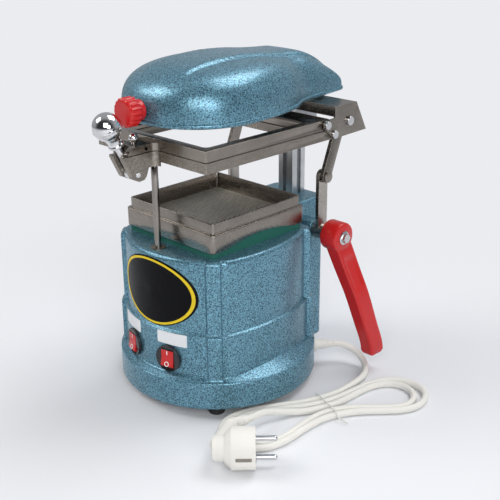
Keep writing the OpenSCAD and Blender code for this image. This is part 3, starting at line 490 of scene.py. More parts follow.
class Skin:
    """Gathers surfaces, in millimetres, and turns them into one piece."""

    def __init__(self) -> None:
        """Starts with no points and no faces."""
        self.points: list[Array] = []
        self.faces: list[Array] = []
        self.count = 0

    def grid(self, surface: Array, around: bool = True) -> "Skin":
        """Adds a surface of two parameters.

        Args:
            surface: points of shape (rows, columns, 3).
            around: whether the last column joins the first.

        Returns:
            The skin itself.
        """
        rows, cols = surface.shape[:2]
        index = np.arange(rows * cols).reshape(rows, cols) + self.count
        right = np.roll(index, -1, 1) if around else index[:, 1:]
        left = index if around else index[:, :-1]
        quads = np.stack([left[:-1], right[:-1], right[1:], left[1:]], -1).reshape(-1, 4)
        self.points.append(surface.reshape(-1, 3))
        self.faces.append(quads)
        self.count += rows * cols
        return self

    def closed(self, surface: Array) -> "Skin":
        """Adds a surface that goes round, and shrinks its first and last rows to points."""
        first = np.repeat(surface[:1].mean(1, keepdims=True), surface.shape[1], 1)
        last = np.repeat(surface[-1:].mean(1, keepdims=True), surface.shape[1], 1)
        return self.grid(np.concatenate([first, surface, last]))

    def lathe(self, profile: Sequence[Sequence[float]], steps: int = 64,
              place: Callable[[Array], Array] | None = None, ring: bool = False) -> "Skin":
        """Adds a profile of (radius, height) pairs turned about Z, then placed.

        Args:
            profile: the pairs, in order along the surface.
            steps: columns around.
            place: moves the points from the Z axis to their place.
            ring: whether the profile is a closed loop, as a washer's.

        Returns:
            The skin itself.
        """
        line = np.asarray(profile, float)
        a = np.linspace(0, 2 * np.pi, steps, endpoint=False)
        if ring:
            line = np.concatenate([line, line[:1]])
        surface = np.stack([line[:, :1] * np.cos(a), line[:, :1] * np.sin(a),
                            np.repeat(line[:, 1:], steps, 1)], -1)
        if place:
            surface = place(surface)
        return self.grid(surface) if ring else self.closed(surface)

    def slab(self, outline: Array, low: float, high: float, radius: float,
             place: Callable[[Array], Array] | None = None) -> "Skin":
        """Adds a plate over an outline, with rounded edges and ringed faces, then placed.

        Args:
            outline: the plate's outline, as pairs.
            low: height of the bottom face.
            high: height of the top face.
            radius: radius of its edges.
            place: moves the points to their place.

        Returns:
            The skin itself.
        """
        levels = rounded_levels(low, high, radius)
        normal = outward(outline)
        middle = outline.mean(0)
        flat = outline[None] - levels[:, :1, None] * normal[None]
        height = np.repeat(levels[:, 1:], len(outline), 1)[..., None]
        edge = np.concatenate([flat, height], -1)
        draw = np.array([0.01, 0.2, 0.4, 0.6, 0.8])[:, None, None]
        inner = []
        for ring in (edge[0], edge[-1]):
            face = np.repeat(ring[None], 5, 0)
            face[..., :2] = middle + (ring[None, :, :2] - middle) * draw
            inner.append(face)
        surface = np.concatenate([inner[0], edge, inner[1][::-1]])
        return self.closed(place(surface) if place else surface)

    def tube(self, path: Array, radius: Any, sides: int = 16) -> "Skin":
        """Adds a tube along a path.

        The ring at each point is square to the path, and is turned as little as possible
        from the ring before it.

        Args:
            path: points in millimetres.
            radius: one number, or one for each point.
            sides: columns around.

        Returns:
            The skin itself.
        """
        heading = np.gradient(path, axis=0)
        heading /= np.linalg.norm(heading, axis=1, keepdims=True)
        side = np.cross([0, 0, 1.0], heading[0])
        if np.linalg.norm(side) < 1e-3:
            side = np.cross([0, 1.0, 0], heading[0])
        sides_at = []
        for t in heading:
            side = side - t * np.dot(side, t)
            side = side / np.linalg.norm(side)
            sides_at.append(side)
        u = np.array(sides_at)
        v = np.cross(heading, u)
        a = np.linspace(0, 2 * np.pi, sides, endpoint=False)[None, :, None]
        reach = np.broadcast_to(np.asarray(radius, float), len(path))[:, None, None]
        surface = path[:, None] + reach * (np.cos(a) * u[:, None] + np.sin(a) * v[:, None])
        return self.closed(surface)

    def mesh(self, name: str) -> Any:
        """Makes one Blender mesh, in metres, of the gathered surfaces.

        Args:
            name: the mesh's name.

        Returns:
            The new mesh.
        """
        mesh = bpy.data.meshes.new(name)
        points = np.concatenate(self.points) * MM
        mesh.from_pydata(points.tolist(), [], np.concatenate(self.faces).tolist())
        return mesh

    def piece(self, name: str, body: str, finish: Finish, *nodes: str,
              crease: float = 38.0) -> Any:
        """Makes the Blender object, in metres, and hides the solids that it replaces.

        Args:
            name: the piece's name.
            body: the body that it moves with.
            finish: its material.
            nodes: the solids that it replaces.
            crease: angle in degrees above which an edge stays sharp.

        Returns:
            The new object.
        """
        mesh = self.mesh(name)
        tidy(mesh)
        return dress(mesh, name, body, finish, nodes, crease)


def tidy(mesh: Any, flat_angle: float = 0.0) -> None:
    """Merges doubles, drops empty faces and points the faces outwards.

    Args:
        mesh: the mesh to tidy.
        flat_angle: angle in degrees below which neighbouring faces are joined, or 0.
    """
    work = bmesh.new()
    work.from_mesh(mesh)
    bmesh.ops.remove_doubles(work, verts=work.verts, dist=2e-6)
    bmesh.ops.dissolve_degenerate(work, edges=work.edges, dist=1e-7)
    if flat_angle:
        bmesh.ops.dissolve_limit(work, angle_limit=math.radians(flat_angle),
                                 verts=work.verts, edges=work.edges)
    bmesh.ops.recalc_face_normals(work, faces=work.faces)
    work.to_mesh(mesh)
    work.free()


def dress(mesh: Any, name: str, body: str, finish: Finish, nodes: Sequence[str],
          crease: float) -> Any:
    """Makes an object of a mesh, gives it its finish, and reports it.

    Args:
        mesh: the piece's mesh, in metres in the row frame.
        name: the piece's name.
        body: the body that it moves with.
        finish: its material.
        nodes: the solids that it replaces.
        crease: angle in degrees above which an edge stays sharp.

    Returns:
        The new object.
    """
    obj = bpy.data.objects.new(name, mesh)
    bpy.context.scene.collection.objects.link(obj)
    mesh.polygons.foreach_set("use_smooth", np.ones(len(mesh.polygons), bool))
    mesh.set_sharp_from_angle(angle=math.radians(crease))
    mesh.materials.clear()
    mesh.materials.append(finish.make())
    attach(obj, body)
    if nodes:
        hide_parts(*nodes)
    log.info("%s: %d faces on %s", name, len(mesh.polygons), body)
    return obj


def eased(node: str, body: str, finish: Finish, width: float, crease: float = 32.0) -> Any:
    """A copy of a solid with its sharp edges rounded, in place of that solid.

    Args:
        node: the solid's name.
        body: the body that it moves with.
        finish: its material.
        width: width of the rounded edge, in millimetres.
        crease: angle in degrees above which an edge is rounded.

    Returns:
        The new object.
    """
    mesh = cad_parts[node].data.copy()
    tidy(mesh, 0.5)
    obj = dress(mesh, f"{node}_eased", body, finish, (node,), 60.0)
    bevel = obj.modifiers.new("edge", "BEVEL")
    bevel.width = width * MM
    bevel.segments = 2
    bevel.limit_method = "ANGLE"
    bevel.angle_limit = math.radians(crease)
    bevel.use_clamp_overlap = True
    bevel.miter_outer = "MITER_ARC"
    return obj


def finish_node(finish: Finish, *nodes: str) -> None:
    """Gives solids that stay as they are their finish.

    Args:
        finish: the material.
        nodes: the solids' names.
    """
    for node in nodes:
        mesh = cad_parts[node].data
        mesh.materials.clear()
        mesh.materials.append(finish.make())


# Studio


@dataclass
class Studio:
    """Camera, lamps, world and floor."""

    azimuth: float = 44.85
    elevation: float = 21.47
    distance: float = 923.9
    focal_px: float = 926.04
    image_px: float = 500.0
    target_height: float = 133.5
    target_right: float = 33.7
    roll: float = -0.009
    pale: Colour = (0.83, 0.84, 0.87)
    paper: Colour = (0.79, 0.80, 0.825)
    aim: Colour = (0.03, 0.0, 0.15)
    sensor_mm: float = 36.0
    dark_way: Colour = (0.62, -0.78, -0.05)
    dark_from: float = -0.10
    dark_to: float = 0.55
    bright: float = 0.46
    dark: float = 0.05
    fade_from: float = 0.20
    fade_to: float = 0.60

    def camera(self) -> None:
        """Stands the camera at the photograph's angle and distance."""
        az, el = math.radians(self.azimuth), math.radians(self.elevation)
        back = Vector((math.sin(az) * math.cos(el), -math.cos(az) * math.cos(el), math.sin(el)))
        right = Vector((math.cos(az), math.sin(az), 0))
        up = back.cross(right)
        target = Vector((0, 0, self.target_height)) + right * self.target_right
        side = right * math.cos(self.roll) + up * math.sin(self.roll)
        top = up * math.cos(self.roll) - right * math.sin(self.roll)
        data = bpy.data.cameras.new("camera")
        data.sensor_width = self.sensor_mm
        data.lens = self.focal_px / self.image_px * data.sensor_width
        data.clip_start = 0.02
        data.clip_end = 60.0
        obj = bpy.data.objects.new("camera", data)
        turned = Matrix((side, top, back)).transposed().to_4x4()
        obj.matrix_world = Matrix.Translation((target + back * self.distance) * MM) @ turned
        bpy.context.scene.collection.objects.link(obj)
        bpy.context.scene.camera = obj

    def lamp(self, name: str, place: Colour, size: float, power: float, tint: Colour) -> None:
        """Adds a soft square lamp that faces the machine.

        Args:
            name: the lamp's name.
            place: where it stands, in metres.
            size: its side, in metres.
            power: in watts.
            tint: its colour.
        """
        data = bpy.data.lights.new(name, "AREA")
        data.shape = "SQUARE"
        data.size = size
        data.energy = power
        data.color = tint
        obj = bpy.data.objects.new(name, data)
        obj.location = place
        heading = Vector(self.aim) - Vector(place)
        obj.rotation_euler = heading.to_track_quat("-Z", "Y").to_euler()
        bpy.context.scene.collection.objects.link(obj)

    def world(self) -> None:
        """A soft world that is darker behind the camera, and a pale one for the camera."""
        world = bpy.data.worlds.new("studio")
        bpy.context.scene.world = world
        world.use_nodes = True
        nodes, links = world.node_tree.nodes, world.node_tree.links
        nodes.clear()
        path = nodes.new("ShaderNodeLightPath")
        seen = nodes.new("ShaderNodeMath")
        seen.operation = "MAXIMUM"
        links.new(path.outputs["Is Camera Ray"], seen.inputs[0])
        links.new(path.outputs["Is Transmission Ray"], seen.inputs[1])
        plain = nodes.new("ShaderNodeBackground")
        plain.inputs["Color"].default_value = (0.93, 0.95, 1.0, 1)
        heading = nodes.new("ShaderNodeTexCoord")
        facing = nodes.new("ShaderNodeVectorMath")
        facing.operation = "DOT_PRODUCT"
        facing.inputs[1].default_value = self.dark_way
        links.new(heading.outputs["Generated"], facing.inputs[0])
        shade = nodes.new("ShaderNodeMapRange")
        shade.interpolation_type = "SMOOTHSTEP"
        shade.inputs["From Min"].default_value = self.dark_from
        shade.inputs["From Max"].default_value = self.dark_to
        shade.inputs["To Min"].default_value = self.bright
        shade.inputs["To Max"].default_value = self.dark
        links.new(facing.outputs["Value"], shade.inputs["Value"])
        links.new(shade.outputs["Result"], plain.inputs["Strength"])
        pale = nodes.new("ShaderNodeBackground")
        pale.inputs["Color"].default_value = (*self.pale, 1)
        blend = nodes.new("ShaderNodeMixShader")
        out = nodes.new("ShaderNodeOutputWorld")
        links.new(seen.outputs[0], blend.inputs[0])
        links.new(plain.outputs[0], blend.inputs[1])
        links.new(pale.outputs[0], blend.inputs[2])
        links.new(blend.outputs[0], out.inputs["Surface"])

    def floor(self) -> None:
        """A wide pale disc whose far part fades into the pale background."""
        below, around = 0.02, 64
        radii = np.array([0, 300, 700, 1500, 3000, 9000.0])
        a = np.linspace(0, 2 * np.pi, around, endpoint=False)
        flat = np.stack([radii[:, None] * np.cos(a), radii[:, None] * np.sin(a),
                         np.full((len(radii), around), -below)], -1)
        mesh = Skin().grid(flat).mesh("studio_floor")
        obj = bpy.data.objects.new("studio_floor", mesh)
        bpy.context.scene.collection.objects.link(obj)
        shader = Shader("floor_paper")
        shader.colour(self.paper)
        shader.rough(0.7)
        shader.feed(shader.surface.inputs["Specular IOR Level"], 0.2)
        reach = shader.node("ShaderNodeVectorMath", {"operation": "LENGTH"}, {0: shader.place})
        far = Value(shader, reach.outputs["Value"]).step(self.fade_from, self.fade_to)
        seen = Value(shader, shader.node("ShaderNodeLightPath").outputs["Is Camera Ray"])
        glow = shader.node("ShaderNodeEmission", None, {"Color": self.pale, "Strength": 1.0})
        blend = shader.node("ShaderNodeMixShader", None, {
            0: far * seen, 1: shader.surface.outputs[0], 2: glow.outputs[0]})
        shader.feed(shader.tree.nodes["Material Output"].inputs["Surface"], blend.outputs[0])
        mesh.materials.append(shader.material)

    def build(self) -> None:
        """Builds the whole studio."""
        bpy.context.scene.view_settings.view_transform = "Standard"
        self.camera()
        self.world()
        self.floor()
        self.lamp("key", (-1.25, -1.15, 1.75), 1.1, 19.0, (1.0, 0.985, 0.96))
        self.lamp("front", (1.0, -1.05, 1.0), 0.9, 10.0, (1.0, 0.995, 0.98))
        self.lamp("fill", (1.75, -0.75, 0.75), 0.8, 11.0, (0.95, 0.97, 1.0))
        self.lamp("top", (0.25, 0.9, 1.9), 1.2, 19.0, (1.0, 1.0, 1.0))
        log.info("studio built")


# Mains lead


@dataclass
class MainsLead:
    """Gland, cord with its hank, wire tie and plug."""

    radius: float = 3.3
    start: Sequence[Colour] = (
        (74.8, 95.6, 21), (80.7, 101.8, 19.9), (87, 105.7, 17.9), (94.4, 107.6, 15.1),
        (102, 107.3, 11.9), (109, 104.8, 9), (115, 100.2, 6.6), (119.7, 93.8, 4.8),
        (122.7, 85.8, 3.7), (124.2, 76.5, 3.3), (124.9, 67.5, 3.3), (125.1, 58.5, 3.3),
        (124.9, 49.5, 3.3), (124, 41, 3.3), (122.5, 33.5, 3.3), (120.7, 26.6, 3.3))
    lead: Sequence[Colour] = (
        (130.2, 5.6, 3.3), (125.8, -3.6, 3.4), (120.4, -12.7, 4.2), (115.2, -21.8, 6),
        (111, -31, 8.5), (108.9, -40, 11.2), (108.9, -49, 13.6), (110.1, -57.5, 15.2),
        (111, -64.4, 16.3), (111.1, -71, 17.5))
    waist: tuple[float, float] = (135.8, 13.4)
    waist_angle: float = 69.0
    turns: int = 2
    plug_face: Colour = (151, -99, 19)
    plug_angle: float = 44.8
    plug_radius: float = 19.0
    bend: float = 0.00105
    steps: int = 620

    def hank(self) -> Array:
        """Two loops through a waist, drawn in a little with each turn.

        Along the hank the place follows the turn's sine. Across it the place follows the
        cosine, times a width that grows with the sine's square and eases off with its
        fourth power. Then the whole is bent along a shallow parabola.

        Returns:
            Points along the cord's middle, in millimetres.
        """
        t = np.linspace(0, self.turns, 48 * self.turns + 1)
        a = 2 * np.pi * t
        swing = np.sin(a) ** 2
        along = -(112 - 11.8 * t) * np.sin(a)
        off = -np.cos(a) * (18.7 - 8.1 * t + (73.4 - 2.7 * t) * swing
                            - (36.5 - 4.9 * t) * swing ** 2)
        w = math.radians(self.waist_angle)
        e, n = np.array([math.cos(w), math.sin(w)]), np.array([math.sin(w), -math.cos(w)])
        d = e + 2 * self.bend * along[:, None] * n
        d /= np.linalg.norm(d, axis=1, keepdims=True)
        m = np.stack([d[:, 1], -d[:, 0]], 1)
        flat = np.array(self.waist) + along[:, None] * e + self.bend * along[:, None] ** 2 * n
        flat = flat + off[:, None] * m
        return np.concatenate([flat, np.full((len(t), 1), self.radius)], 1)

    def at_plug(self, points: Array) -> Array:
        """Places points whose Z runs back from the plug's face along its axis."""
        turned = turn(turn(points, Axis.Y, -90), Axis.Z, self.plug_angle)
        return turned + np.array(self.plug_face)

    def build(self) -> None:
        """Builds every piece of the lead."""
        route = np.concatenate([np.array(self.start, float), self.hank(),
                                np.array(self.lead, float)])
        path = resample(route, self.steps)
        cord = Skin().tube(path, self.radius, 14).piece(
            "cord_sheath", "base", WHITE, "mains_cord", "cord_hank", "plug_lead")
        plug = self.plug()
        tie = self.tie()
        pins = self.pins()
        earth = self.earth()
        self.gland()

    def plug(self) -> Any:
        """Round body with a shoulder, a hub behind it and a ribbed side neck.

        Returns:
            The plug's object.
        """
        r = self.plug_radius
        skin = Skin()
        body = [(r - 3.4, 0.0), (r - 3.2, 0.7), (r - 2.4, 0.7), (r - 2.2, 0), (r - 0.6, 0.1),
                (r, 0.8), (r, 20.5), (r - 0.5, 21.6), (r - 1.6, 22.4), (r - 4.8, 26.2),
                (r - 5.6, 27), (12.4, 27.3), (11.7, 28.4), (11.4, 36), (10.4, 37.6), (8, 38)]
        skin.lathe([(0.5, 0.0), *body], 96, self.at_plug)
        neck = resample(np.array([(128, -119, 19.0), (120.5, -105.5, 20), (112.5, -91.5, 20.4),
                                  (111.4, -82, 19.3), (111.1, -71.3, 17.6)]), 90)
        s = np.linspace(0, 1, 90)
        width = 10.2 - 2.6 * smooth(0.0, 0.55, s) - 3.2 * smooth(0.45, 1.0, s)
        ribs = 0.55 * (np.sin(s * 2 * np.pi * 15) > 0) * (s > 0.55) * (s < 0.97)
        skin.tube(neck, width - ribs, 32)
        return skin.piece("plug_shell", "base", WHITE, "plug_body")

    def pins(self) -> Any:
        """Two round pins with rounded tips.

        Returns:
            The pins' object.
        """
        a = np.radians(np.linspace(0, 80, 9))
        tip = [(2.4 * math.cos(t), -16.6 - 2.4 * math.sin(t)) for t in a]
        skin = Skin()
        for x in (9.5, -9.5):
            skin.lathe([(2.4, -0.02), (2.4, -8.0), (2.4, -16.0), *tip], 40,
                       lambda p, x=x: self.at_plug(p + np.array([x, 0, 0])))
        return skin.piece("plug_pins_turned", "base", CHROME, "plug_pins")

    def earth(self) -> list[Any]:
        """Earth strips in the plug's two flanks, and flat black films at its face that are painted
        shade for its slots.

        Returns:
            The strips' object and the object of the slots' painted shade.
        """
        r, curve = self.plug_radius, 0.02
        flank, face = rounded_square(1.7, 7.0, 0.6, 4, 6), rounded_square(5.2, 0.8, 0.7, 4, 6)
        strip, slot = Skin(), Skin()
        for side in (1, -1):
            strip.slab(flank, 0, 0.6, 0.15, lambda p, k=side: self.at_plug(np.stack(
                [p[..., 0], k * (r - 0.35 + p[..., 2]), p[..., 1] + 10.5], -1)))
            # Flat black film on the face: painted shade standing in for the dark inside of each
            # slot opening.
            slot.slab(face, 0, 0.3, 0.08, lambda p, k=side: self.at_plug(np.stack(
                [p[..., 0], k * (p[..., 1] + r - 4.6 - curve * p[..., 0] ** 2), -p[..., 2]], -1)))
        return [strip.piece("plug_earth_strips", "base", NICKEL),
                slot.piece("plug_slot_painted_shade", "base", BLACK)]

    def gland(self) -> None:
        """Cord gland: a flange on the skirt and a ribbed relief that narrows to the cord."""
        face, tip, heading, height = 99.5, 121.0, 52.0, 21.0
        relief = [(5.6, face + 3.2)]
        for k in range(6):
            x, r = face + 4.6 + 2.5 * k, 5.4 - 0.26 * k
            relief += [(r, x), (r, x + 1.3), (r - 0.55, x + 1.5), (r - 0.55, x + 2.3)]
        profile = [(2.0, face - 8), (5.9, face - 8), (5.9, face), (7.1, face), (7.5, face + 0.4),
                   (7.5, face + 2.2), (6.9, face + 3), *relief,
                   (3.9, tip - 0.6), (3.5, tip), (2.0, tip)]

        def place(points: Array) -> Array:
            """Points whose Z runs out of the skirt where the cord leaves it."""
            return turn(turn(points, Axis.Y, 90), Axis.Z, heading) + np.array([0, 0, height])

        Skin().lathe(profile, 48, place).piece("gland_ribbed", "base", WHITE, "cord_gland")

    def tie(self) -> Any:
        """Wire loop round the hank's waist, its two ends twisted together.

        Returns:
            The tie's object.
        """
        wire, half, rise, twists = 0.55, (21.2, 3.9), 4.5, 4
        flat = rounded_square(*half, 3.6, 6, 8)
        w = math.radians(self.waist_angle - 90)
        across = np.array([math.cos(w), math.sin(w), 0])
        base = np.array([*self.waist, 0]) + np.array([-math.sin(w), math.cos(w), 0]) * 1.0
        up = np.array([0, 0, 1.0])
        loop = base + (flat[:, :1] - 2.0) * across + (flat[:, 1:] + rise) * up
        skin = Skin().tube(np.concatenate([loop, loop[:2]]), wire, 8)
        s = np.linspace(0, 1, 60)[:, None]
        centre = loop[0] + across * 1.2 + (across * 9 + np.array([0.6, 0.8, 0]) * 5) * s
        centre = centre - up * 2.6 * s
        for phase in (0.0, math.pi):
            a = s * 2 * np.pi * twists + phase
            side = np.array([-across[1], across[0], 0])
            skin.tube(centre + 0.6 * (np.cos(a) * side + np.sin(a) * up), 0.5, 8)
        return skin.piece("tie_wire_loop", "base", WIRE, "cord_tie")


# Housing


@dataclass
class Housing:
    """Enamelled casting: skirt, ledge, two panelled zones, ribs, pedestal and lugs."""

    skirt_r: float = 99.5
    skirt_top: float = 38.0
    top: float = 157.5
    step: float = 83.0
    front_r: float = 97.0
    front_y: float = 9.5
    side_r: float = 157.0
    side_half: float = 80.0
    corner_r: float = 91.5
    panel_step: float = 3.0
    rib_half: float = 6.75
    bore_r: float = 22.0
    top_r: float = 4.5
    edge_r: float = 1.8
    wall: float = 4.0
    foot: float = 10.0
    pedestal_half: tuple[float, float] = (34.0, 31.0)
    pedestal_y: float = 95.0
    pedestal_top: float = 170.0
    lug_y: float = 87.5
    lug_z: float = 142.0
    lug_from: float = 20.0
    lug_to: float = 55.0

    def panel_radius(self, angle: Array, grow: float) -> Array:
        """Distance from the axis to the bowed panels, by angle.

        Each panel and the round corner is a circle; the nearest of them counts, blended
        over a millimetre or so where two meet.

        Args:
            angle: angles about the axis, in radians.
            grow: what is added to every circle's radius.

        Returns:
            The distance at each angle.
        """
        d = np.stack([np.cos(angle), np.sin(angle)], -1)
        inner = self.side_half - self.side_r
        circles = ((0, self.front_y, self.front_r), (inner, -6, self.side_r),
                   (-inner, -6, self.side_r), (0, inner, self.side_r), (0, 0, self.corner_r))
        reach = []
        for x, y, r in circles:
            along = d @ np.array([x, y])
            reach.append(along + np.sqrt(along ** 2 - x * x - y * y + (r + grow) ** 2))
        stack = np.stack(reach)
        soft = 0.7
        low = stack.min(0)
        return low - soft * np.log(np.exp(-(stack - low) / soft).sum(0)) * 0.35

    def rib_radius(self, angle: Array, panel: Array, reach: float) -> Array:
        """Panels with a rib on each diagonal, with a soft step on its two flanks.

        Args:
            angle: angles about the axis, in radians.
            panel: the panels' distance at each angle.
            reach: the ribs' distance from the axis.

        Returns:
            The distance at each angle.
        """
        off = np.abs((angle - np.pi / 4 + np.pi / 4) % (np.pi / 2) - np.pi / 4)
        side = reach * np.sin(off)
        rib = 1 - smooth(self.rib_half - 0.6, self.rib_half + 1.2, side)
        return panel + np.maximum(reach - panel, 0) * rib

    def shell(self) -> Skin:
        """The body of the casting as radius by angle and by place down its profile.

        Returns:
            A skin with the body in it.
        """
        angle = np.linspace(0, 2 * np.pi, 900, endpoint=False)
        upper = self.rib_radius(angle, self.panel_radius(angle, 0), self.corner_r + 2)
        lower = self.rib_radius(angle, self.panel_radius(angle, self.panel_step),
                                self.corner_r + 5)
        one = np.ones_like(angle)
        rows: list[tuple[Array, Array]] = [(self.bore_r * one, (self.top - self.wall) * one),
                                           (self.bore_r * one, self.top * one)]
        for inset in (40.0, 20.0, 8.0):
            rows.append((upper - inset, self.top * one))
        for a in np.linspace(0, np.pi / 2, 9):
            rows.append((upper - self.top_r * (1 - math.sin(a)),
                         (self.top - self.top_r * (1 - math.cos(a))) * one))
        for z in np.linspace(self.top - 10, self.step + 3.2, 8):
            rows.append((upper, z * one))
        for t in np.linspace(0, 1, 9):
            swell = float(smooth(0, 1, t))
            rows.append((upper + (lower - upper) * swell, (self.step + 2.6 - 2.8 * t) * one))
        cone = self.skirt_top + (self.skirt_r - lower) * 8 / (self.skirt_r - self.side_half)
        for t in np.linspace(0.06, 1, 8):
            rows.append((lower, (self.step - 0.4) * (1 - t) + (cone + 2.2) * t))
        for t in np.linspace(0, 1, 7)[1:]:
            rows.append((lower + 2.2 * t ** 2, cone + 2.2 * (1 - t) ** 1.6 - 0.9 * t))
        for t in np.linspace(0, 1, 4)[1:]:
            edge = self.skirt_r - self.edge_r
            start_r, start_z = lower + 2.2, cone - 0.9
            end_z = self.skirt_top + 0.15
            rows.append((start_r + np.maximum(edge - start_r, 0) * t,
                         start_z + (end_z - start_z) * t))
        for a in np.linspace(0, np.pi / 2, 7):
            rows.append(((self.skirt_r - self.edge_r * (1 - math.sin(a))) * one,
                         (self.skirt_top - self.edge_r * (1 - math.cos(a))) * one))
        for z in (30.0, 22.0, 15.0, 11.8):
            rows.append((self.skirt_r * one, z * one))
        for inset, rise in ((0.6, 0.5), (1.4, 0.0), (self.wall - 0.4, 0.0), (self.wall, 0.4),
                            (self.wall, 16.0)):
            rows.append(((self.skirt_r - inset) * one, (self.foot + rise) * one))
        surface = np.stack([np.stack([r * np.cos(angle), r * np.sin(angle), z], -1)
                            for r, z in rows])
        return Skin().grid(surface)

    def build(self) -> None:
        """Builds the casting with its pedestal and lugs, and dresses the hidden pieces."""
        skin = self.shell()
        pedestal = rounded_square(*self.pedestal_half, 8, 10, 6)
        skin.slab(pedestal + np.array([0, self.pedestal_y]), 10.2, self.pedestal_top, 2.2)
        lug = rounded_square(8.5, 14, 4, 8, 2)
        for side in (1, -1):
            skin.slab(lug, self.lug_from, self.lug_to, 1.2, lambda p, s=side: np.stack(
                [s * p[..., 2], p[..., 0] + self.lug_y, p[..., 1] + self.lug_z], -1))
        skin.piece("housing_casting", "base", BLUE, "housing", crease=30)
        finish_node(ZINC, "base_plate", "motor_can", "fan_housing", "motor_clamp", "impeller")
        finish_node(RUBBER, "rubber_feet", "suction_seal")
        finish_node(CHROME, "foot_screws", "motor_shaft")
        finish_node(NICKEL, "guide_bush")
        finish_node(GREEN, "tray_gasket")


@dataclass
class FrontPanel:
    """Round rocker switches, blank label plates and the oval plate."""

    shell_r: float = 97.0
    shell_y: float = 9.5
    step: float = 3.0
    badge_half: tuple[float, float] = (48.5, 34.0)
    badge_centre: tuple[float, float] = (4.0, 119.5)
    switch_angle: float = 14.5
    switch_z: float = 56.0
    label_x: float = 28.3
    label_z: float = 76.6

    def on_front(self, x: Array, z: Array, lift: float, lower: bool = False) -> Array:
        """Points over the front arc, from sideways and upward places."""
        r = self.shell_r + (self.step if lower else 0) + lift
        y = self.shell_y - np.sqrt(np.maximum(r * r - x * x, 0))
        return np.stack([x, y, z], -1)

    def badge(self) -> None:
        """Oval plate with a raised yellow rim, as angle by share of the way out."""
        share = np.array([0.0, 0.3, 0.6, 0.8, 0.89, 0.905, 0.92, 0.95, 0.965, 0.985, 1.0, 1.0])
        lift = np.array([1.2, 1.2, 1.2, 1.2, 1.2, 1.25, 1.5, 1.5, 1.25, 1.15, 0.8, 0.0])
        a = np.linspace(0, 2 * np.pi, 120, endpoint=False)
        x = self.badge_centre[0] + share[:, None] * self.badge_half[0] * np.cos(a)
        z = self.badge_centre[1] + share[:, None] * self.badge_half[1] * np.sin(a)
        surface = self.on_front(x, z, lift[:, None])
        mesh = Skin().grid(surface).mesh("oval_plate")
        uv = mesh.uv_layers.new(name="face")
        table = np.stack([np.repeat(a[None] / (2 * np.pi), len(share), 0),
                          np.repeat(share[:, None], len(a), 1)], -1).reshape(-1, 2)
        loops = np.zeros(len(mesh.loops), np.int32)
        mesh.loops.foreach_get("vertex_index", loops)
        uv.data.foreach_set("uv", table[loops].ravel())
        dress(mesh, "oval_plate", "base", BADGE, ("badge_plate",), 50)

    def labels(self) -> None:
        """Thin blank plates over the switches."""
        skin = Skin()
        outline = rounded_square(15.5, 6.3, 0.8, 4, 14)
        for side in (-1, 1):
            centre = side * self.label_x
            skin.slab(outline, 0.0, 0.7, 0.2, lambda p, c=centre: self.on_front(
                p[..., 0] + c, p[..., 1] + self.label_z, p[..., 2], True))
        skin.piece("blank_labels", "base", LABEL, "switch_labels")

    def mark(self, body: str, side: Side) -> None:
        """A bar above and a ring below on one rocker's face.

        Args:
            body: the rocker's body.
            side: which of the two rockers.
        """
        angle = side.value * self.switch_angle
        key, sunk, mark_z, tilt = 5.0, 1.5, 5.6, 7.0
        face = -(self.shell_r + self.step - sunk + key)
        skin = Skin()

        def seat(points: Array) -> Array:
            """Lays flat marks on the rocker's face, then turns them to the switch.

            Args:
                points: sideways place, upward place and lift off the face.

            Returns:
                The points in the row frame.
            """
            x, z, out = points[..., 0], points[..., 1], points[..., 2]
            rise = np.abs(z) * math.tan(math.radians(tilt))
            lean = turn(np.stack([x, -(key + rise) - out, z], -1), Axis.X, -tilt)
            lean = lean + np.array([0, face + key, 0])
            return turn(lean, Axis.Z, angle) + np.array([0, self.shell_y, self.switch_z])

        bar = rounded_square(0.45, 2.0, 0.3, 3, 3) + np.array([0, mark_z])
        skin.slab(bar, 0.02, 0.14, 0.04, seat)
        ring = [(1.75, 0.02), (2.45, 0.02), (2.45, 0.14), (1.75, 0.14)]
        skin.lathe(ring, 32, lambda p: seat(p - np.array([0, mark_z, 0])), True)
        skin.piece(f"{body}_marks", body, INK)

    def build(self) -> None:
        """Builds the plates and dresses the switches."""
        self.badge()
        self.labels()
        for node in ("heat_switch", "vacuum_switch"):
            eased(node, "base", BLACK, 0.6)
        for body, node, side in (("heat_key", "heat_rocker", Side.LEFT),
                                 ("vacuum_key", "vacuum_rocker", Side.RIGHT)):
            eased(node, body, RED, 0.5)
            self.mark(body, side)


# Tray


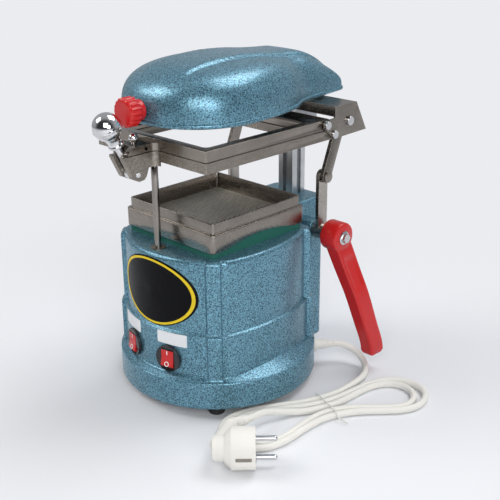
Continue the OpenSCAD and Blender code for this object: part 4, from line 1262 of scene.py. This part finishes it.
@dataclass
class Tray:
    """Two-tier tray with arched side walls, and the plate with its fine holes."""

    half: float = 62.0
    tier: float = 59.0
    low: float = 162.7
    step: float = 180.7
    top: float = 190.5
    wall: float = 1.5
    arch: float = 6.0
    arch_half: float = 46.0
    plate_z: float = 174.2
    pitch: float = 3.6
    hole: float = 1.42
    border: float = 53.5

    def ring(self, half: float, radius: float) -> Array:
        """One tier's outline, with even steps along its sides."""
        return rounded_square(half, half, radius, 8, 24)

    def build(self) -> None:
        """Builds the tray as one profile carried round its outline, and the plate."""
        outer, upper = self.ring(self.half, 5), self.ring(self.tier, 4)
        inner_low = self.ring(self.half - self.wall, 3.5)
        inner_up = self.ring(self.tier - self.wall, 2.5)
        arch_r = (self.arch_half ** 2 + self.arch ** 2) / (2 * self.arch)
        y = outer[:, 1]
        rise = np.sqrt(np.maximum(arch_r ** 2 - y ** 2, 0)) + self.arch - arch_r
        side = np.abs(outer[:, 0]) > self.half - 2
        foot = self.low + np.where(side, np.maximum(rise, 0), 0)
        n_out, n_up = outward(outer), outward(upper)
        rows: list[tuple[Array, Any]] = [
            (inner_low, 174.0), (inner_low, foot + 0.5), (outer - n_out * 0.9, foot),
            (outer - n_out * 0.3, foot + 0.15), (outer, foot + 0.7),
            (outer, 0.5 * (foot + self.step))]
        step_r, fillet, lip = 1.1, 0.8, 0.7
        for a in np.linspace(0, np.pi / 2, 5):
            rows.append((outer - n_out * step_r * (1 - math.cos(a)),
                         self.step - step_r * (1 - math.sin(a))))
        for t in np.linspace(0, 1, 5):
            rows.append((upper + n_up * fillet * (1 - t) ** 2, self.step + fillet * t ** 2 + 0.02))
        for a in np.linspace(0, np.pi / 2, 5):
            rows.append((upper - n_up * lip * (1 - math.cos(a)),
                         self.top - lip * (1 - math.sin(a))))
        rows += [(inner_up + n_up * 0.2, self.top), (inner_up, self.top - 0.4),
                 (inner_up, self.plate_z + 1.2), (inner_up, 173.2), (self.ring(48, 3), 173.0),
                 (self.ring(48, 3), 172.0), (inner_up, 172.0), (inner_low, 174.0)]
        surface = np.stack([np.concatenate([ring, (np.zeros(len(ring)) + z)[:, None]], 1)
                            for ring, z in rows])
        Skin().grid(surface).piece("tray_wall", "base", SHEET, "tray", crease=30)
        self.plate()

    def plate(self) -> None:
        """Six-sided cells in staggered rows, each with a round hole and its walls.

        A cell's edge runs through the middles between neighbouring holes and the points
        where three cells meet. A plain border lies over the outermost cells' ragged edge.
        """
        pitch, hole = self.pitch, self.hole
        k = np.arange(12)
        a = np.radians(k * 30)
        way = np.stack([np.cos(a), np.sin(a)], 1)
        edge = way * np.where(k % 2 == 0, pitch / 2, pitch / math.sqrt(3))[:, None]
        rim = np.full((12, 1), self.plate_z)
        cell = np.concatenate([np.concatenate([hole * way, rim], 1), np.concatenate([edge, rim], 1),
                               np.concatenate([hole * way, rim - 1.0], 1)])
        centres = [((i + 0.5 * (j % 2)) * pitch, j * pitch * math.sqrt(0.75), 0.0)
                   for j in range(-17, 18) for i in range(-15, 16 - j % 2)]
        points = (cell[None] + np.array(centres)[:, None]).reshape(-1, 3)
        after = (k + 1) % 12
        quads = np.concatenate([np.stack([k, k + 12, after + 12, after], 1),
                                np.stack([k, after, after + 24, k + 24], 1)])
        base = np.arange(len(centres))[:, None, None] * len(cell)
        skin = Skin()
        skin.points.append(points)
        skin.faces.append((quads[None] + base).reshape(-1, 4))
        skin.count = len(points)
        levels = ((57.2, 0.0), (57.2, 0.06), (self.border + 0.1, 0.06), (self.border, -0.02))
        skin.grid(np.stack([np.concatenate([rounded_square(half, half, 2, 4, 1),
                                            np.full((20, 1), self.plate_z + z)], 1)
                            for half, z in levels]))
        skin.piece("mesh_plate_fine", "base", MESH, "mesh_plate", crease=30)


# Sheet frame, linkage and clamp


@dataclass
class Carriage:
    """Lower and upper sheet frames, bracket, slide block, jaws and their screws."""

    rod_y: float = -74.0
    rod_r: float = 3.25
    rod_low: float = 135.5
    rod_high: float = 250.5

    def rod(self) -> None:
        """Guide rod as a turned profile with a chamfer at each end."""
        r, low, high, edge = self.rod_r, self.rod_low, self.rod_high, 0.5
        heights = (low + edge, 180.0, 220.0, high - edge)
        profile = [(1.0, low), (r - edge, low), *((r, z) for z in heights),
                   (2.9, high), (1.0, high)]
        skin = Skin().lathe(profile, 48, lambda p: p + np.array([0, self.rod_y, 0]))
        skin.piece("guide_rod_turned", "carriage", ROD, "guide_rod")

    def build(self) -> None:
        """Rounds the castings' edges and dresses the small pieces."""
        for node in ("lower_frame", "lower_jaw"):
            eased(node, "carriage", NICKEL, 0.8)
        for node in ("upper_frame", "upper_jaw"):
            eased(node, "lid", SATIN, 0.8)
        eased("rear_bracket", "carriage", SHEET, 0.35)
        eased("slide_block", "carriage", ALLOY, 0.6)
        for node in ("bracket_screws", "hinge_screws", "link_bolts", "jaw_pin"):
            eased(node, "carriage", CHROME, 0.35)
        self.rod()
        eased("lift_stud", "lid", CHROME, 0.2)


@dataclass
class Linkage:
    """Arms, links and the red lever on its shaft."""

    shaft_y: float = 86.5
    shaft_z: float = 147.0
    head_r: float = 15.0
    head_x: tuple[float, float] = (73.5, 92.5)

    def on_shaft(self, points: Array) -> Array:
        """Places points whose Z runs along the shaft."""
        return np.stack([points[..., 2], points[..., 0] + self.shaft_y,
                         points[..., 1] + self.shaft_z], -1)

    def grip(self) -> Array:
        """Lever's grip as a rounded rectangle carried from the head to the tip.

        The section tapers, and a shallow hollow dips into its outer face.

        Returns:
            Rows of points, one row for each section.
        """
        s = np.linspace(0, 1, 60)
        centre = resample(np.array([(82.5, 89.0, 140), (90.5, 95.5, 112), (99.5, 101.5, 84),
                                    (108, 107, 52), (113, 110.3, 33), (115, 111, 20.5)]), 60)
        centre[-1, 2] = 20.0
        width = 23.5 - 3.4 * smooth(0, 1, s)
        depth = 17.0 - 1.4 * smooth(0, 1, s)
        end = np.clip((1 - s) / 0.03, 0, 1)
        shrink = 1 - 0.16 * (1 - np.sqrt(1 - (1 - end) ** 2))
        unit = rounded_square(1, 1, 0.28, 8, 10)
        x = centre[:, None, 0] + unit[None, :, 0] * (depth * shrink)[:, None] / 2
        y = centre[:, None, 1] + unit[None, :, 1] * (width * shrink)[:, None] / 2
        along = smooth(0.10, 0.16, s) * (1 - smooth(0.36, 0.42, s))
        dip = along[:, None] * (1 - smooth(0.45, 0.72, np.abs(unit[None, :, 1])))
        x = x - 1.5 * dip * (unit[None, :, 0] > 0.9)
        z = np.repeat(centre[:, 2:], unit.shape[0], 1)
        return np.stack([x, y, z], -1)

    def build(self) -> None:
        """Builds the lever and dresses the bars."""
        skin = Skin()
        x0, x1 = self.head_x
        r = self.head_r
        skin.lathe([(3.2, x0 + 0.2), (r - 1.6, x0), (r - 0.5, x0 + 0.4), (r, x0 + 1.5),
                    (r, x1 - 2.2), (r - 0.7, x1 - 0.7), (r - 2.2, x1), (3.2, x1)],
                   96, self.on_shaft)
        skin.closed(self.grip())
        skin.piece("lever_grip", "lever_set", RED, "lever")
        bolt = Skin()
        bolt.lathe([(2, x1), (6.6, x1), (7, x1 + 0.3), (7, x1 + 0.9), (6.6, x1 + 1.2),
                    (2, x1 + 1.2)], 48, self.on_shaft)
        a, hex_r = np.radians(np.arange(6) * 60), 4.9
        hexagon = hex_r * np.stack([np.cos(a), np.sin(a)], 1)
        bolt.slab(hexagon, x1 + 1.2, x1 + 4.5, 0.4, self.on_shaft)
        bolt.lathe([(2, x0 + 12), (3, x0 + 12), (3, x1 + 2), (2, x1 + 2)], 32, self.on_shaft)
        bolt.piece("lever_bolt_head", "lever_set", CHROME, "lever_bolt")
        for node in ("arm_right", "arm_left"):
            eased(node, "lever_set", BAR, 0.6)
        for node in ("link_right", "link_left"):
            eased(node, "links", SHEET, 0.6)
        finish_node(CHROME, "lever_shaft")


@dataclass
class Clamp:
    """Swing bolt and the polished ball nut on it."""

    pivot: Colour = (0, -101, 236)
    lean: float = 26.7
    ball: float = 12.7
    reach: float = 51.0
    nut_length: float = 21.0

    def on_bolt(self, points: Array) -> Array:
        """Places points whose Z runs along the leaning bolt."""
        return turn(points, Axis.X, self.lean) + np.array(self.pivot)

    def build(self) -> None:
        """Turns the ball nut's profile: skirt, waist, ball and seam."""
        low = self.reach - self.nut_length
        a = np.radians(np.linspace(-52, 86, 40))
        ball = [(self.ball * math.cos(t) + (0.5 if abs(math.degrees(t)) < 4 else 0),
                 self.reach + self.ball * math.sin(t)) for t in a]
        profile = [(3.1, low), (6.4, low), (7, low + 0.6), (7, low + 2.4), (6.4, low + 3),
                   (6.0, low + 4), (6.4, low + 7), *ball]
        Skin().lathe(profile, 96, self.on_bolt).piece("ball_nut_turned", "nut", CHROME, "ball_nut")
        eased("swing_bolt", "bolt", CHROME, 0.3)


# Hood


@dataclass
class Hood:
    """Lofted heater hood with its bead, spine, knob, and what is inside it."""

    rim: float = 277.5
    half: float = 70.0
    front: float = 86.0
    rear: float = 157.0
    crown: float = 48.5
    wall: float = 3.0
    middle: float = -18.0
    neck: float = 42.0
    neck_y: float = 100.0
    shoulder: float = 58.0
    shoulder_y: float = 55.0
    sink: float = 5.0
    fall: float = 23.0
    band_half: float = 26.0
    band_edge: float = 1.6
    band_rise: float = 3.0
    knob_y: float = -106.5
    knob_z: float = 290.5

    def side(self, y: Array) -> Array:
        """Half width of the hood's plan, by place along it.

        The nose is a superellipse. Behind the widest place the width falls as a parabola,
        then as a second one to the neck, then evenly to the end.

        Args:
            y: places along the hood.

        Returns:
            The half width at each place.
        """
        nose, power = np.maximum(self.middle - y, 0) / (self.front + self.middle), 2.2
        front = self.half * np.maximum(0, 1 - nose ** power) ** (1 / power)
        fall = (y - self.middle) / (self.shoulder_y - self.middle)
        body = self.half - (self.half - self.shoulder) * fall ** 2
        rise = (self.neck_y - y) / (self.neck_y - self.shoulder_y)
        waist = self.neck + (self.shoulder - self.neck) * rise ** 2
        tail = self.neck - 7 * (y - self.neck_y) / 50
        return np.where(y < self.middle, front, np.where(
            y < self.shoulder_y, body, np.where(y < self.neck_y, waist, tail)))

    def plan(self, y: Array) -> Array:
        """Half width with the rear end rounded off."""
        end = smooth(0, 1, (y - self.rear + 16) / 16) * 0.9999
        return self.side(y) * np.maximum(0, 1 - end ** 3) ** (1 / 2.2)

    def height(self, y: Array) -> Array:
        """Crown's height above the rim, falling to the rear."""
        return self.crown - self.sink * smooth(0, 93, y) - self.fall * smooth(88, 165, y)

    def spine(self, x: Array, y: Array) -> Array:
        """Low raised band down the middle that steps down over the neck."""
        low, high = self.band_half - self.band_edge, self.band_half + self.band_edge
        band = 1 - smooth(low, high, np.abs(x))
        return self.band_rise * band * smooth(-70, -50, y) * (1 - smooth(120, 140, y))

    def ring(self, scale: Array, inset: float, around: int) -> Array:
        """Rings of the shell drawn in towards the middle by a scale.

        A ring's height is the crown's, times the cube root of one less the scale's fourth
        power, with the spine's band on top.

        Args:
            scale: share of the way out for each ring, from 0 to 1.
            inset: wall thickness to draw in by, 0 for the outer skin.
            around: points in each ring.

        Returns:
            Points of shape (rings, around, 3).
        """
        a = np.linspace(0, 2 * np.pi, around, endpoint=False)
        middle = (self.rear - self.front) / 2
        reach = (self.rear + self.front) / 2
        y0 = middle - reach * np.cos(a)
        w = np.maximum(0, self.plan(y0))
        x = np.sign(np.sin(a)) * np.maximum(0, w - inset * np.minimum(1, w / 20))
        y = middle - (reach - inset) * np.cos(a)
        s = scale[:, None]
        px, py = x * s, middle + (y - middle) * s
        dome = np.maximum(0, 1 - s ** 4) ** (1 / 3)
        z = (self.height(py) - 4 - inset) * dome + self.spine(px, py) * (1 - s ** 4)
        return np.stack([px, py, self.rim + 4 + z], -1)

    def shell(self) -> None:
        """Outer skin, bead, flat rim and inner skin as one closed surface."""
        around = 240
        t = np.linspace(0, 1, 44)[1:]
        steps = np.sin(t * np.pi / 2) ** 0.8
        steps[-1] = 1.0
        outer = self.ring(steps, 0, around)
        inner = self.ring(steps[::-2], self.wall, around)
        base = self.ring(np.array([1.0]), 0, around)[0]
        flat_n = outward(base[:, :2])
        rows = [outer]
        for out, z in ((0.5, 4.0), (1.1, 3.6), (1.4, 2.8), (1.4, 1.0), (1.0, 0.3), (0.4, 0.0)):
            row = base.copy()
            row[:, :2] += flat_n * out
            row[:, 2] = self.rim + z
            rows.append(row[None])
        lip = inner[0].copy()
        lip[:, 2] = self.rim
        surface = np.concatenate([*rows, lip[None], inner])
        Skin().closed(surface).piece("hood_cover", "hood", BLUE, "hood_shell", crease=50)

    def knob(self) -> None:
        """Round knob with ribs: radius by angle, carried along the axis."""
        count, depth, steps = 18, 0.9, 288
        a = np.linspace(0, 2 * np.pi, steps, endpoint=False)
        ribs = depth * (0.5 + 0.5 * np.cos(count * a)) ** 1.6
        levels = [(0, 4.0, 0), (0.1, 9.0, 0), (0.0, 10.8, 0), (0.6, 11.8, 0.3), (1.6, 12.4, 1),
                  (11.4, 12.4, 1), (12.4, 11.8, 0.4), (13, 10.6, 0), (13.2, 9.7, 0), (18.9, 9.4, 0),
                  (19.3, 9.0, 0), (19.3, 3.2, 0)]
        rows = [np.stack([(r + k * ribs) * np.cos(a), np.full_like(a, self.knob_y + d),
                          self.knob_z + (r + k * ribs) * np.sin(a)], -1) for d, r, k in levels]
        Skin().closed(np.stack(rows)).piece("knob_ribbed", "hood", RED, "front_knob")

    def build(self) -> None:
        """Builds the hood and dresses the pieces inside it."""
        self.shell()
        self.knob()
        finish_node(CHROME, "knob_stud", "reflector")
        finish_node(ALLOY, "hood_boss")
        finish_node(CERAMIC, "heater_disc")
        finish_node(COIL, "heater_coil")
        finish_node(ALLOY, "column")
        finish_node(CHROME, "pivot_post", "post_cap")


def main() -> None:
    """Builds the studio and the machine in order."""
    logging.basicConfig(level=logging.INFO, format="%(name)s: %(message)s")
    Studio().build()
    MainsLead().build()
    for part in (Housing(), FrontPanel(), Tray(), Carriage(), Linkage(), Clamp(), Hood()):
        part.build()
        log.info("%s done", type(part).__name__)


if __name__ == "__main__":
    main()
